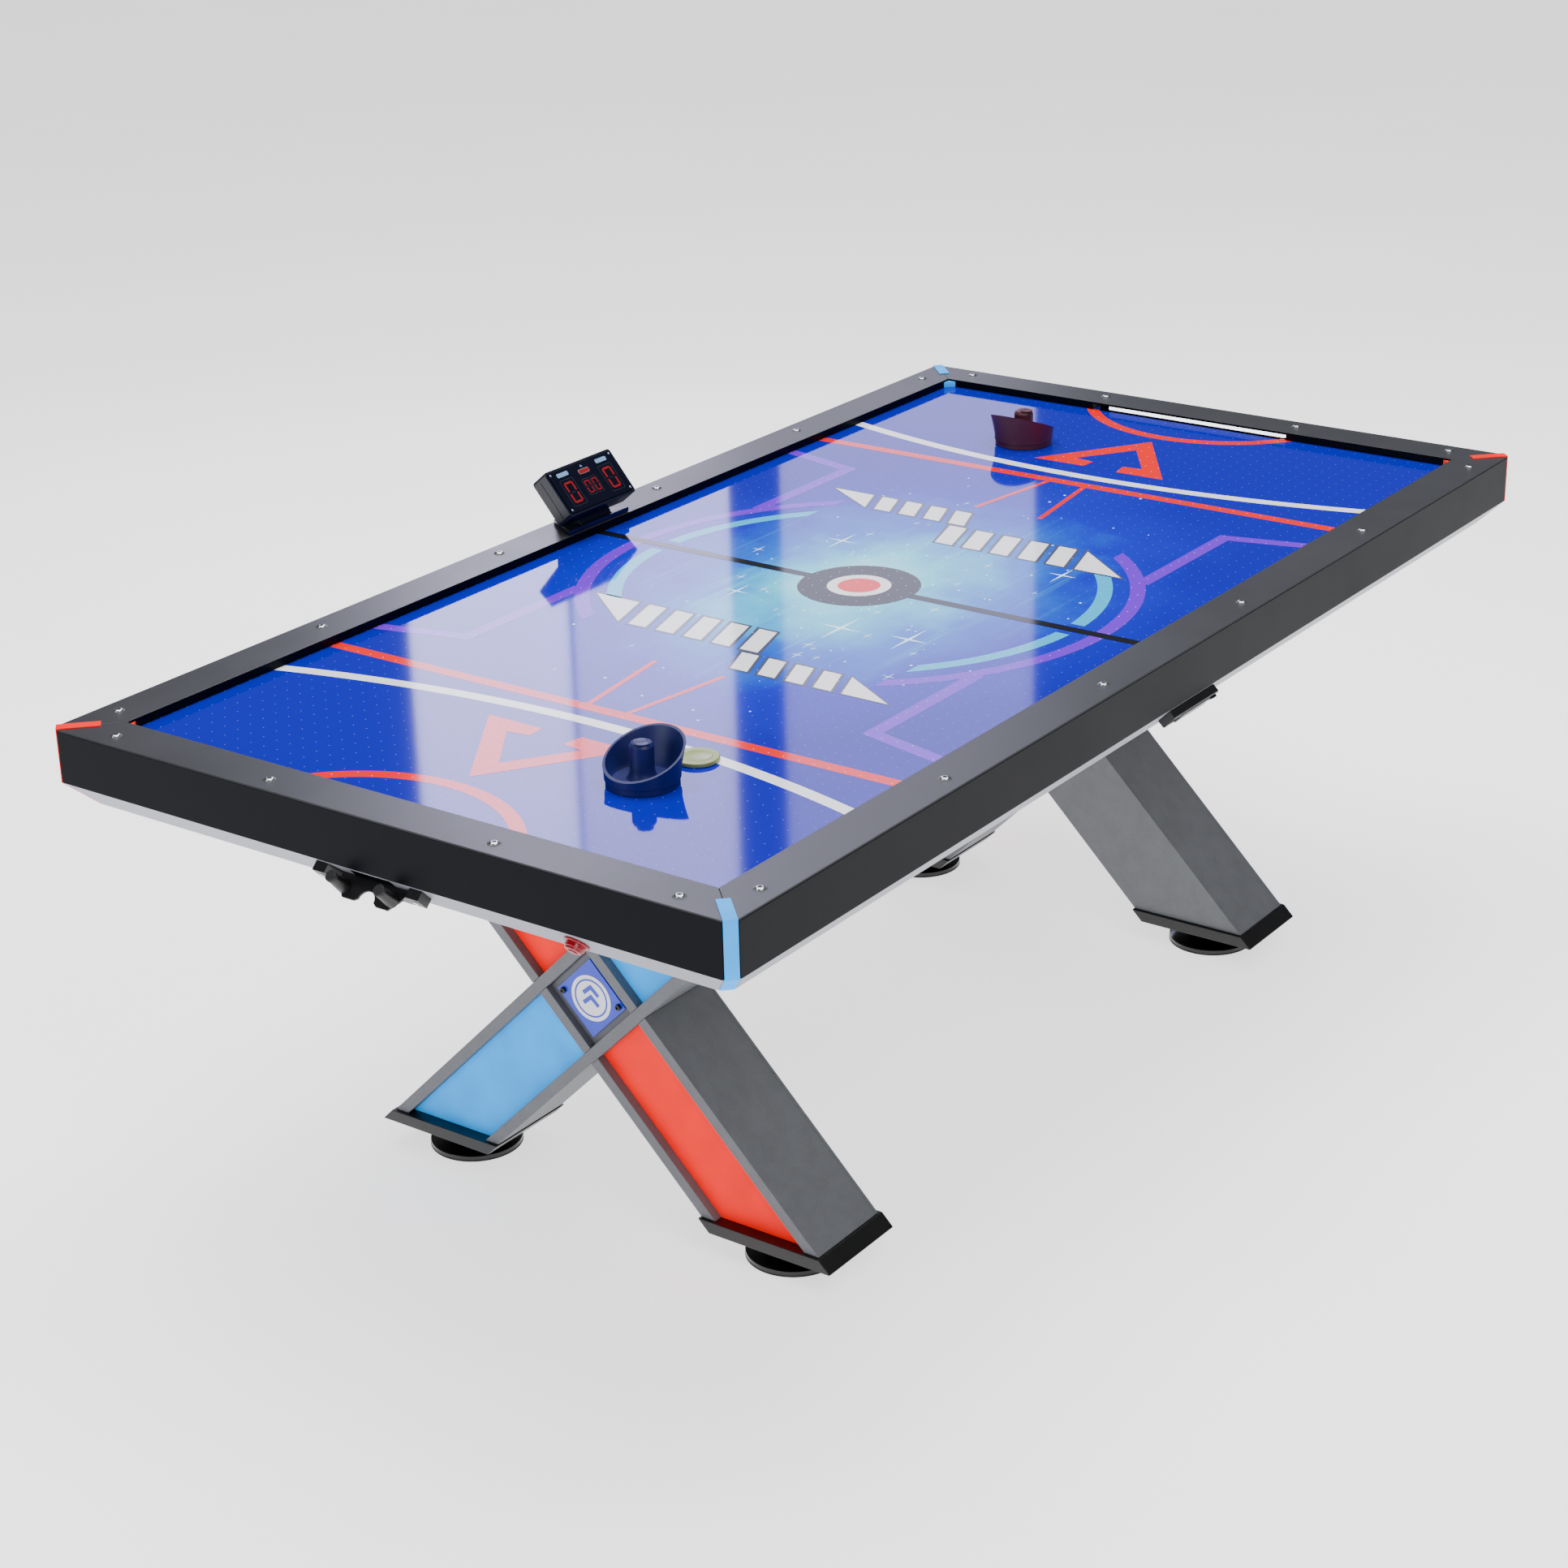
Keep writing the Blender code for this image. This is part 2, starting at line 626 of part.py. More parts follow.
# ---------------------------------------------------------------- control box
def make_control_box():
    """On the front rail's chamfer. Local X runs towards -X there, because the frame is turned."""
    frame = chamfer_axes(Matrix.Rotation(math.pi / 2, 4, "Z"))
    frame.translation = (0, -HALF_WIDTH, HEIGHT - RAIL_FACE)
    middle = (CONTROL_TOP + CONTROL_BOTTOM) / 2
    section = [
        (CONTROL_TOP, GAP),
        (CONTROL_BOTTOM, GAP),
        (CONTROL_BOTTOM, CONTROL_DEPTH - CONTROL_EDGE),
        (CONTROL_BOTTOM - CONTROL_EDGE, CONTROL_DEPTH),
        (CONTROL_TOP + CONTROL_EDGE, CONTROL_DEPTH),
        (CONTROL_TOP, CONTROL_DEPTH - CONTROL_EDGE),
    ]
    place = frame @ axes(Y, Z, X, (-CONTROL_LENGTH / 2, 0, 0))
    box = slab("control_box", section, CONTROL_LENGTH, place, "black_plastic")

    seat = frame @ at(-ROCKER_X, middle, CONTROL_DEPTH)
    room_x = ROCKER_WIDTH / 2 + 2 * GAP
    room_y = ROCKER_LENGTH / 2 + ROCKER_CLEARANCE
    cut(box, block("rocker_pocket", (-room_x, -room_y, -ROCKER_POCKET), (room_x, room_y, PAST), seat))

    inlet_seat = frame @ at(-INLET_X, middle, CONTROL_DEPTH)
    size = (INLET_WIDTH / 2, INLET_HEIGHT / 2)
    cut(
        box,
        block(
            "inlet_pocket",
            (-size[0] - GAP, -size[1] - GAP, -INLET_DEPTH - GAP),
            (size[0] + GAP, size[1] + GAP, PAST),
            inlet_seat,
        ),
    )
    make_rocker(seat @ at(z=-ROCKER_PIVOT))
    make_inlet(inlet_seat, size)


def make_rocker(pivot):
    """Side view in local YZ about its pivot: one end stands up and the other lies down."""
    half = ROCKER_LENGTH / 2
    outline = [
        (-half, ROCKER_HIGH_END),
        (-half, -ROCKER_END_DEPTH),
        (0, -ROCKER_DEPTH),
        (half, -ROCKER_END_DEPTH),
        (half, ROCKER_LOW_END),
        (0, ROCKER_MIDDLE),
    ]
    side_view = axes(Y, Z, X, (-ROCKER_WIDTH / 2, 0, 0))
    rocker = slab("rocker_side_view", outline, ROCKER_WIDTH, side_view)
    shape = rocker.data.copy()
    shape.transform(side_view)
    bpy.data.objects.remove(rocker)
    add_object("rocker_switch", shape, pivot, "black_plastic")


def make_inlet(seat, size):
    deep = (-size[0], -size[1], -INLET_DEPTH)
    inlet = block("power_inlet", deep, (size[0], size[1], 0), seat, "black_plastic")
    recess = (size[0] - INLET_WALL, size[1] - INLET_WALL)
    floor = -INLET_DEPTH + INLET_WALL
    cut(inlet, block("inlet_recess", (-recess[0], -recess[1], floor), (recess[0], recess[1], PAST), seat))


# ---------------------------------------------------------------- scoreboard
def make_scoreboard():
    tilt = math.radians(SCORE_TILT)
    up_face = Vector((0, math.cos(tilt), math.sin(tilt)))
    out = Vector((0, -math.sin(tilt), math.cos(tilt)))
    low_edge = Vector((0, HALF_WIDTH - SCORE_FRONT_Y, HEIGHT + SCORE_FRONT_Z))
    # Local X across the face, Y up it and Z out of it.
    face = axes(X, up_face, out, low_edge)
    half, height, edge = SCORE_WIDTH / 2, SCORE_HEIGHT, SCORE_EDGE
    outline = (
        arc((half - edge, edge), edge, -90, 0, 4)
        + arc((half - edge, height - edge), edge, 0, 90, 4)
        + arc((edge - half, height - edge), edge, 90, 180, 4)
        + arc((edge - half, edge), edge, 180, 270, 4)
    )
    back = face @ at(z=-SCORE_THICKNESS)
    housing = slab("scoreboard_housing", outline, SCORE_THICKNESS, back, "score_shell")
    inset = SCORE_FACE_INSET
    window = rectangle(-half + inset, half - inset, inset, height - inset)
    room = rectangle(-half + inset - GAP, half - inset + GAP, inset - GAP, height - inset + GAP)
    recess = SCORE_FACE_THICKNESS / 2
    slab("scoreboard_face", window, SCORE_FACE_THICKNESS, face @ at(z=-recess + GAP), "score_window")
    cut(housing, slab("score_recess", room, PAST, face @ at(z=-recess)))

    front, back = HALF_WIDTH - SADDLE_FRONT, HALF_WIDTH - SADDLE_BACK
    saddle = [
        (-SADDLE_HALF_FRONT, front),
        (SADDLE_HALF_FRONT, front),
        (SADDLE_HALF_BACK, back),
        (-SADDLE_HALF_BACK, back),
    ]
    join(housing, slab("score_saddle", saddle, SADDLE_HEIGHT, at(z=HEIGHT + GAP)))
    behind = low_edge - out * (SCORE_THICKNESS / 2)
    neck = [
        (front + NECK_FRONT, HEIGHT + SADDLE_HEIGHT / 2),
        (back - NECK_BACK, HEIGHT + SADDLE_HEIGHT / 2),
        (back - NECK_BACK, HEIGHT + SCORE_FRONT_Z + NECK_SHOULDER),
        (behind.y + NECK_HEAD_IN, behind.z + NECK_HEAD_UP),
        (front + NECK_HEAD_IN, HEIGHT + SADDLE_HEIGHT + NECK_TOE),
    ]
    place = axes(Y, Z, X, (-NECK_HALF_WIDTH, 0, 0))
    join(housing, slab("score_neck", neck, 2 * NECK_HALF_WIDTH, place))


# ---------------------------------------------------------------- blower
def make_blower():
    top = at(z=HEIGHT - RAIL_DEPTH - GAP)
    half, wall = BLOWER_HALF_WIDTH, BLOWER_WALL
    inner_floor = -BLOWER_HEIGHT + wall
    rim, room = half + BLOWER_FLANGE, half - wall
    stub_top = inner_floor + IMPELLER_CLEARANCE + IMPELLER_HEIGHT + STUB_PAST
    seat_top = inner_floor + IMPELLER_CLEARANCE - GAP
    housing = block("blower_housing", (-half, -half, -BLOWER_HEIGHT), (half, half, 0), top, "steel_black")
    join(housing, block("blower_flange", (-rim, -rim, -BLOWER_FLANGE_THICKNESS), (rim, rim, 0), top))
    cut(housing, block("blower_room", (-room, -room, inner_floor), (room, room, PAST), top))
    join(housing, rod("blower_seat", 2 * STUB_RADIUS, inner_floor - wall / 2, seat_top, top))
    join(housing, rod("blower_stub", STUB_RADIUS, inner_floor, stub_top, top))
    for i in range(BLOWER_INTAKES):
        way = Matrix.Rotation(2 * math.pi * i / BLOWER_INTAKES, 4, "Z")
        low = (BLOWER_INTAKE_CIRCLE - BLOWER_INTAKE_HALF, -BLOWER_INTAKE_HALF, -BLOWER_HEIGHT - PAST)
        high = (BLOWER_INTAKE_CIRCLE + BLOWER_INTAKE_HALF, BLOWER_INTAKE_HALF, inner_floor + PAST_WALL)
        cut(housing, block(f"blower_intake_{i}", low, high, top @ way))
    place = top @ at(z=inner_floor + IMPELLER_CLEARANCE)
    slab(
        "blower_impeller",
        impeller_outline(),
        IMPELLER_HEIGHT,
        place,
        "black_plastic",
        holes=[circle(STUB_RADIUS + STUB_CLEARANCE)],
    )


def impeller_outline():
    outline = []
    pitch = 2 * math.pi / IMPELLER_BLADES
    root = IMPELLER_BLADE / IMPELLER_HUB
    tip = IMPELLER_BLADE / IMPELLER_RADIUS / 2
    middle = (IMPELLER_HUB + IMPELLER_RADIUS) / 2
    bend = IMPELLER_BLADE / middle
    for i in range(IMPELLER_BLADES):
        turn = i * pitch
        for radius, angle in (
            (IMPELLER_HUB, -root),
            (middle, IMPELLER_SWEEP * 0.35 - bend),
            (IMPELLER_RADIUS, IMPELLER_SWEEP - tip),
            (IMPELLER_RADIUS, IMPELLER_SWEEP + tip),
            (middle, IMPELLER_SWEEP * 0.35 + bend),
            (IMPELLER_HUB, root),
            (IMPELLER_HUB, pitch / 2),
        ):
            outline.append((radius * math.cos(turn + angle), radius * math.sin(turn + angle)))
    return outline


# ---------------------------------------------------------------- mallets and puck
def make_mallet(end, turn, finish):
    """A round base whose flared wall is cut by a sloping plane, round an upright knob."""
    x, y = MALLET_PLACES[end]
    place = at(x, y, PLAY_TOP + GAP) @ turn
    radius = MALLET_RADIUS
    inside = radius - MALLET_WALL
    outer = [
        *((radius + flare, height) for flare, height in MALLET_FLARE),
        (radius, MALLET_FLARE[-1][1] - EASE),
        (radius, EASE),
        (radius - EASE, 0),
        (0, 0),
    ]
    inner = [
        (0, MALLET_FLOOR),
        (inside - MALLET_COVE, MALLET_FLOOR),
        (inside - EASE, MALLET_FLOOR + MALLET_COVE),
        *((inside + flare, height) for flare, height in MALLET_FLARE[-3::-1]),
    ]
    mallet = turned(f"mallet_{end}", inner + outer, place, finish)
    slope = math.atan(MALLET_RIM_SLOPE)
    tilt = place @ at(z=MALLET_RIM_HEIGHT) @ Matrix.Rotation(-slope, 4, "Y")
    beyond = 2 * radius
    cut(mallet, block(f"mallet_rim_{end}", (-beyond, -beyond, 0), (beyond, beyond, beyond), tilt))
    top, knob = MALLET_KNOB_TOP, MALLET_KNOB_RADIUS
    profile = [
        (0, top),
        (knob * 0.55, top - MALLET_CROWN * 0.1),
        (knob * 0.85, top - MALLET_CROWN * 0.4),
        (knob, top - MALLET_CROWN),
        (knob, MALLET_FLOOR + 2 * MALLET_COVE),
        (knob + MALLET_COVE / 3, MALLET_FLOOR + MALLET_COVE * 0.7),
        (knob + MALLET_COVE, MALLET_FLOOR - EASE),
        (0, MALLET_FLOOR - EASE),
    ]
    join(mallet, turned(f"mallet_knob_{end}", profile, place, sides=32))


def make_puck():
    edge = EASE
    profile = [
        (0, PUCK_HEIGHT),
        (PUCK_RADIUS - edge, PUCK_HEIGHT),
        (PUCK_RADIUS, PUCK_HEIGHT - edge),
        (PUCK_RADIUS, edge),
        (PUCK_RADIUS - edge, 0),
        (0, 0),
    ]
    turned("puck", profile, at(*PUCK_PLACE, PLAY_TOP + GAP), "puck")


# ---------------------------------------------------------------- legs
def diagonal(height):
    """The sum of the two slanted coordinates at a height above the floor."""
    return math.sqrt(2) * (height - (HEIGHT - LEG_CROSSING))


def arm(low, high, start, end):
    """A stretch of a beam from a square start to a level end: (along, across) points."""
    return [(start, low), (end - low, low), (end - high, high), (start, high)]


def swapped(outline):
    return [(b, a) for a, b in outline]


def make_leg(end, turn):
    """Local X runs up one beam, Y up the other and Z into the leg from its outer face."""
    rise = Vector((0, 1, 1)).normalized()
    cross = Vector((0, -1, 1)).normalized()
    face = turn @ axes(rise, cross, X, (-HALF_LENGTH + LEG_FACE, 0, HEIGHT - LEG_CROSSING))
    half, inner = BEAM_WIDTH / 2, BEAM_WIDTH / 2 - BOARD
    top = diagonal(HEIGHT - RAIL_DEPTH - GAP)
    bottom = diagonal(FOOT_PLATE_TOP + GAP)
    depth = LEG_DEPTH - BACK_PANEL - GAP
    prefix = f"{end}_leg_"
    limits = {"upper": (1, top), "lower": (-1, bottom)}

    for side, name in ((1, "long_board_left"), (-1, "long_board_right")):
        a, b = sorted((side * inner, side * half))
        outline = [(a, bottom - a), (a, top - a), (b, top - b), (b, bottom - b)]
        slab(prefix + name, outline, depth, face, "leg_grey")
    for level, (way, limit) in limits.items():
        start = way * (half + GAP)
        for side, name in ((1, "left"), (-1, "right")):
            a, b = sorted((side * inner, side * half))
            slab(f"{prefix}short_board_{level}_{name}", arm(a, b, start, limit), depth, face, "leg_grey")
        fit = inner - GAP
        panel_place = face @ at(z=COLOUR_PANEL_RECESS)
        panel = arm(-fit, fit, start, limit)
        slab(f"{prefix}red_panel_{level}", panel, COLOUR_PANEL, panel_place, "panel_red")
        slab(f"{prefix}blue_panel_{level}", swapped(panel), COLOUR_PANEL, panel_place, "panel_blue")

    web = EMBLEM_RECESS + EMBLEM_THICKNESS + GAP
    channel = [
        (-half, 0),
        (-inner, 0),
        (-inner, web),
        (inner, web),
        (inner, 0),
        (half, 0),
        (half, depth),
        (inner, depth),
        (inner, web + WEB),
        (-inner, web + WEB),
        (-inner, depth),
        (-half, depth),
    ]
    channel_place = face @ axes(Y, Z, X, (GAP - inner, 0, 0))
    slab(prefix + "centre_box", channel, 2 * (inner - GAP), channel_place, "leg_grey")
    plate = rectangle(-EMBLEM_HALF, EMBLEM_HALF, -EMBLEM_HALF, EMBLEM_HALF)
    slab(prefix + "emblem_plate", plate, EMBLEM_THICKNESS, face @ at(z=EMBLEM_RECESS), "emblem")

    back = cross_outline(half, top, bottom)
    slab(prefix + "back_panel", back, BACK_PANEL, face @ at(z=depth + GAP), "leg_grey")

    for side, name in ((1, "left"), (-1, "right")):
        make_foot(end, turn, side, name)


def cross_outline(half, top, bottom):
    """Both beams in one outline, level at the top and the bottom."""
    return [
        (half, -half), (top + half, -half), (top - half, half),
        (half, half), (half, top - half), (-half, top + half),
        (-half, half), (bottom - half, half), (bottom + half, -half),
        (-half, -half), (-half, bottom + half), (half, bottom - half),
    ]


def make_foot(end, turn, side, name):
    """A slanted foot plate under a beam and the levelling foot that screws into it."""
    rise = LEG_CROSSING - (HEIGHT - FOOT_PLATE_TOP)
    middle = -rise
    reach = BEAM_WIDTH / 2 * math.sqrt(2) + FOOT_PLATE_OVERHANG
    low = FOOT_PLATE_TOP - FOOT_PLATE
    outline = [
        (middle - reach, FOOT_PLATE_TOP),
        (middle + reach, FOOT_PLATE_TOP),
        (middle + reach + FOOT_PLATE, low),
        (middle - reach + FOOT_PLATE, low),
    ]
    outline = [(side * y, z) for y, z in outline]
    start = -HALF_LENGTH + LEG_FACE - FOOT_PLATE_ENDS
    length = LEG_DEPTH + 2 * FOOT_PLATE_ENDS
    plate_place = turn @ axes(Y, Z, X, (start, 0, 0))
    plate = slab(f"{end}_foot_plate_{name}", outline, length, plate_place, "foot_black")
    stem_x = -HALF_LENGTH + LEG_FACE + LEG_DEPTH / 2
    stem = turn @ at(stem_x, side * (middle + FOOT_OFFSET))
    hole = FOOT_STEM_RADIUS + FOOT_STEM_CLEARANCE
    cut(plate, rod(f"stem_hole_{end}_{name}", hole, low - PAST, FOOT_PLATE_TOP + PAST, stem))
    profile = [
        (0, FOOT_STEM_TOP),
        (FOOT_STEM_RADIUS, FOOT_STEM_TOP),
        (FOOT_STEM_RADIUS, low - FOOT_COLLAR_DROP),
        (FOOT_RADIUS * 0.30, low - FOOT_COLLAR_DROP - FOOT_DOME),
        (FOOT_RADIUS * 0.50, FOOT_RIM + 3 * FOOT_DOME),
        (FOOT_RADIUS * 0.86, FOOT_RIM + FOOT_DOME),
        (FOOT_RADIUS, FOOT_RIM),
        (FOOT_RADIUS, EASE),
        (FOOT_RADIUS - EASE, 0),
        (0, 0),
    ]
    turned(f"{end}_levelling_foot_{name}", profile, stem, "foot_black")


# ---------------------------------------------------------------- the table
def smooth_round_parts():
    for part in PARTS.objects:
        part.data.shade_smooth()
        part.data.set_sharp_from_angle(angle=math.radians(30))


def main():
    make_materials()
    make_playfield()
    make_bottom_board()
    make_rails()
    for end, turn in ENDS.items():
        make_goal_box(end, turn)
        make_tray(end, turn)
        make_leg(end, turn)
    make_button()
    make_control_box()
    make_scoreboard()
    make_blower()
    make_mallet("near", ENDS["near"], NAVY)
    make_mallet("far", ENDS["far"], "mallet_maroon")
    make_puck()
    smooth_round_parts()


clear_scene()
PARTS = new_collection("air_hockey_table")
CUTTERS = new_collection("cutters")
main()
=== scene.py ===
"""Finishes the air hockey table: fine pieces, printed playfield, materials, studio and camera.

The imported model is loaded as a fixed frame, and each operator adds or finishes one group of pieces.
"""

import math
import random

import bpy
from mathutils import Matrix, Vector


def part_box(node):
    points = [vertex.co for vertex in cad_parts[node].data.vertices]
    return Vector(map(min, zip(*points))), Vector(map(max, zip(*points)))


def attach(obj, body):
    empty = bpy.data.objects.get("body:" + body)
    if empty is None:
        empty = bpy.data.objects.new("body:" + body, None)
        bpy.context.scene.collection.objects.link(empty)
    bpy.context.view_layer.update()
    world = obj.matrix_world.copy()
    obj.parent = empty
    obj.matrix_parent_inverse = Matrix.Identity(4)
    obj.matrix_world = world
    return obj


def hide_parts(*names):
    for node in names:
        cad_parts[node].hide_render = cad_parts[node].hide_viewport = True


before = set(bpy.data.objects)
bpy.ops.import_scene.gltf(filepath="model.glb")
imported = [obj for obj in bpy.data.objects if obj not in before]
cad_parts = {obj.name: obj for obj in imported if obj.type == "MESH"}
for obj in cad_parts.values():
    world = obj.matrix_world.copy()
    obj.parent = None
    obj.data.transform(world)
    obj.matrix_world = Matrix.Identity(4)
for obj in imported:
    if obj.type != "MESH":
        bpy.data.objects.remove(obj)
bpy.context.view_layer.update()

bl_info = {
    "name": "Air hockey table",
    "version": (1, 0, 0),
    "blender": (4, 5, 0),
    "location": "3D View > Sidebar > Air Hockey",
    "description": "Makes the pieces, finishes and studio of an air hockey table around its packed frame",
    "category": "Object",
}

MM = 0.001
X, Y, Z = Vector((1, 0, 0)), Vector((0, 1, 0)), Vector((0, 0, 1))
HALF_TURN = Matrix.Rotation(math.pi, 4, "Z")
ENDS = {"near": Matrix.Identity(4), "far": HALF_TURN}

# Places that the frame gives.
RAIL_LOW, RAIL_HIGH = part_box("rail_near")
FIELD_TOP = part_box("playfield")[1].z
RAIL_TOP = RAIL_HIGH.z
HALF_LENGTH = -RAIL_LOW.x
HALF_WIDTH = -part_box("rail_front")[0].y
RAIL_WIDTH = RAIL_HIGH.x - RAIL_LOW.x
INNER_LENGTH = HALF_LENGTH - RAIL_WIDTH
INNER_WIDTH = HALF_WIDTH - RAIL_WIDTH
# The rails' underside slopes in by CHAMFER_RUN over CHAMFER_DROP, from CHAMFER_START below their tops.
CHAMFER_START, CHAMFER_RUN, CHAMFER_DROP = 0.0795, 0.0365, 0.0379
# How far a printed line runs on under a rail.
UNDER_RAIL = 0.004
# Share of a layer's height that its print fills, so that no two prints touch.
FILLED = 0.8


# ---------------------------------------------------------------- settings
def length(name, description, default):
    """A size that a user can set, in metres."""
    return bpy.props.FloatProperty(
        name=name, description=description, default=default, min=0.0, unit="LENGTH", precision=4
    )


def linear(hex_colour):
    """sRGB hex to linear RGBA."""
    values = [int(hex_colour[i:i + 2], 16) / 255 for i in (1, 3, 5)]
    return [v / 12.92 if v <= 0.04045 else ((v + 0.055) / 1.055) ** 2.4 for v in values] + [1.0]


def colour(name, description, hex_colour):
    """A colour that a user can set."""
    return bpy.props.FloatVectorProperty(
        name=name, description=description, default=linear(hex_colour), size=4, min=0, max=1, subtype="COLOR"
    )


class TableSizes(bpy.types.PropertyGroup):
    """Sizes of the print and of the small pieces"""

    hole_spacing: length("Hole spacing", "Distance between the air holes", 0.0254)
    hole_size: length("Hole size", "Drawn diameter of an air hole", 0.0021)
    layer: length("Print layer", "Thickness of one printed layer", 0.00004)
    line_width: length("Line width", "Width of the red and white cross lines", 0.022)
    disc_radius: length("Centre disc", "Radius of the dark disc at the centre", 0.098)
    cyan_radius: length("Cyan arc", "Outer radius of the cyan arcs", 0.398)
    purple_radius: length("Purple arc", "Outer radius of the purple arcs", 0.449)
    arc_width: length("Arc width", "Width of the cyan and purple arcs", 0.024)
    screw_radius: length("Screw radius", "Radius of a rail screw's head", 0.0072)
    edge: length("Softened edge", "Radius that a board's sharp edges are eased to", 0.0008)


class TableColours(bpy.types.PropertyGroup):
    """Colours of the finishes"""

    field: colour("Playfield", "Ground colour of the print", "#0003A6")
    glow: colour("Glow", "Colour of the burst of light at the centre", "#4FD2F2")
    red: colour("Line red", "Red of the printed lines", "#F00C04")
    purple: colour("Purple", "Purple of the outer arcs", "#6E04D8")
    cyan: colour("Cyan", "Cyan of the inner arcs", "#22B4E4")
    # The rail tops' charcoal is lighter than the rails' sides as painted sheen.
    rail: colour("Rail", "Charcoal of the rail tops", "#37383B")
    leg: colour("Leg", "Concrete grey of the legs", "#606266")
    panel_blue: colour("Blue panel", "Blue of the leg panels and corner strips", "#009CF2")
    panel_red: colour("Red panel", "Red of the leg panels and corner strips", "#F40600")
    mallet_near: colour("Near mallet", "Navy of the near mallet", "#0D1658")
    mallet_far: colour("Far mallet", "Maroon of the far mallet", "#4A1828")
    puck: colour("Puck", "Olive of the puck", "#8E9A55")


# ---------------------------------------------------------------- materials
def add_node(tree, kind, inputs=None, output=0, **settings):
    """Adds a node with its settings, links or sets its inputs, and returns one of its outputs."""
    node = tree.nodes.new("ShaderNode" + kind)
    for name, value in settings.items():
        setattr(node, name, value)
    for name, value in (inputs or {}).items():
        if isinstance(value, bpy.types.NodeSocket):
            tree.links.new(value, node.inputs[name])
        else:
            node.inputs[name].default_value = value
    return node.outputs[output]


def new_material(name, **values):
    """A material with its Principled shader's sockets set; returns (material, tree, shader, object point)."""
    material = bpy.data.materials.new(name)
    material.use_nodes = True
    tree = material.node_tree
    shader = tree.nodes["Principled BSDF"]
    for socket, value in values.items():
        shader.inputs[socket.replace("_", " ")].default_value = value
    return material, tree, shader, add_node(tree, "TexCoord", output="Object")


def feed(tree, shader, **sockets):
    """Links nodes' outputs to the shader's sockets."""
    for socket, value in sockets.items():
        tree.links.new(value, shader.inputs[socket.replace("_", " ")])


def scaled(rgba, factor):
    """The same colour, lighter or darker."""
    return [min(1.0, v * factor) for v in rgba[:3]] + [1.0]


def laminate(name, rgba, roughness, mottle, grain, sheen=0.5):
    """Pressed laminate: a faint mottle across a board, and a fine matt grain that breaks up its sheen."""
    material, tree, shader, point = new_material(name, Roughness=roughness, IOR=1.5, Specular_IOR_Level=sheen)
    blobs = {"Vector": point, "Scale": 1 / mottle, "Detail": 4.0, "Roughness": 0.55}
    cloud = add_node(tree, "TexNoise", blobs)
    fine = add_node(tree, "TexNoise", {"Vector": point, "Scale": 1 / grain, "Detail": 2.0, "Roughness": 0.55})
    patch = add_node(tree, "MapRange", {"Value": cloud, "From Min": 0.35, "From Max": 0.65})
    tones = {0: patch, 6: scaled(rgba, 0.93), 7: scaled(rgba, 1.07)}
    tone = add_node(tree, "Mix", tones, 2, data_type="RGBA")
    fleck = add_node(tree, "MapRange", {"Value": fine, "From Min": 0.45, "From Max": 0.75, "To Max": 0.35})
    tone = add_node(tree, "Mix", {0: fleck, 6: tone, 7: scaled(rgba, 1.6)}, 2, data_type="RGBA")
    ends = {"Value": cloud, "To Min": roughness - 0.05, "To Max": roughness + 0.07}
    dull = add_node(tree, "MapRange", ends)
    relief = add_node(tree, "Bump", {"Height": fine, "Distance": 0.00006, "Strength": 1.0})
    feed(tree, shader, Base_Color=tone, Roughness=dull, Normal=relief)
    return material


def moulded(name, rgba, roughness, grain=0.0009, depth=0.00005, glow=0.0, **values):
    """Moulded plastic or a painted coat: a fine grain gives a soft sheen with tiny breaks in it."""
    material, tree, shader, point = new_material(
        name, Roughness=roughness, IOR=1.49, Emission_Strength=glow, **values
    )
    fine = add_node(tree, "TexNoise", {"Vector": point, "Scale": 1 / grain, "Detail": 2.0, "Roughness": 0.55})
    # The broad patches are about 50 mm across.
    broad = add_node(tree, "TexNoise", {"Vector": point, "Scale": 20.0, "Detail": 3.0, "Roughness": 0.55})
    patch = add_node(tree, "MapRange", {"Value": broad, "From Min": 0.35, "From Max": 0.65})
    tones = {0: patch, 6: scaled(rgba, 0.93), 7: scaled(rgba, 1.07)}
    tone = add_node(tree, "Mix", tones, 2, data_type="RGBA")
    ends = {"Value": broad, "To Min": roughness - 0.04, "To Max": roughness + 0.05}
    dull = add_node(tree, "MapRange", ends)
    relief = add_node(tree, "Bump", {"Height": fine, "Distance": depth, "Strength": 1.0})
    feed(tree, shader, Base_Color=tone, Emission_Color=tone, Roughness=dull, Normal=relief)
    return material


def hole_mask(tree, point, sizes):
    """1 inside each air hole of the grid, and 0 between them."""
    grid = add_node(tree, "VectorMath", {0: point, "Scale": 1 / sizes.hole_spacing}, operation="SCALE")
    cell = add_node(tree, "VectorMath", {0: grid}, operation="FRACTION")
    middle = add_node(tree, "VectorMath", {0: cell, 1: (0.5, 0.5, 0)}, operation="SUBTRACT")
    flat = add_node(tree, "VectorMath", {0: middle, 1: (1, 1, 0)}, operation="MULTIPLY")
    reach = add_node(tree, "VectorMath", {0: flat}, "Value", operation="LENGTH")
    rim = sizes.hole_size / 2 / sizes.hole_spacing
    fade = {"Value": reach, "From Min": rim * 0.6, "From Max": rim, "To Min": 1.0, "To Max": 0.0}
    return add_node(tree, "MapRange", fade)


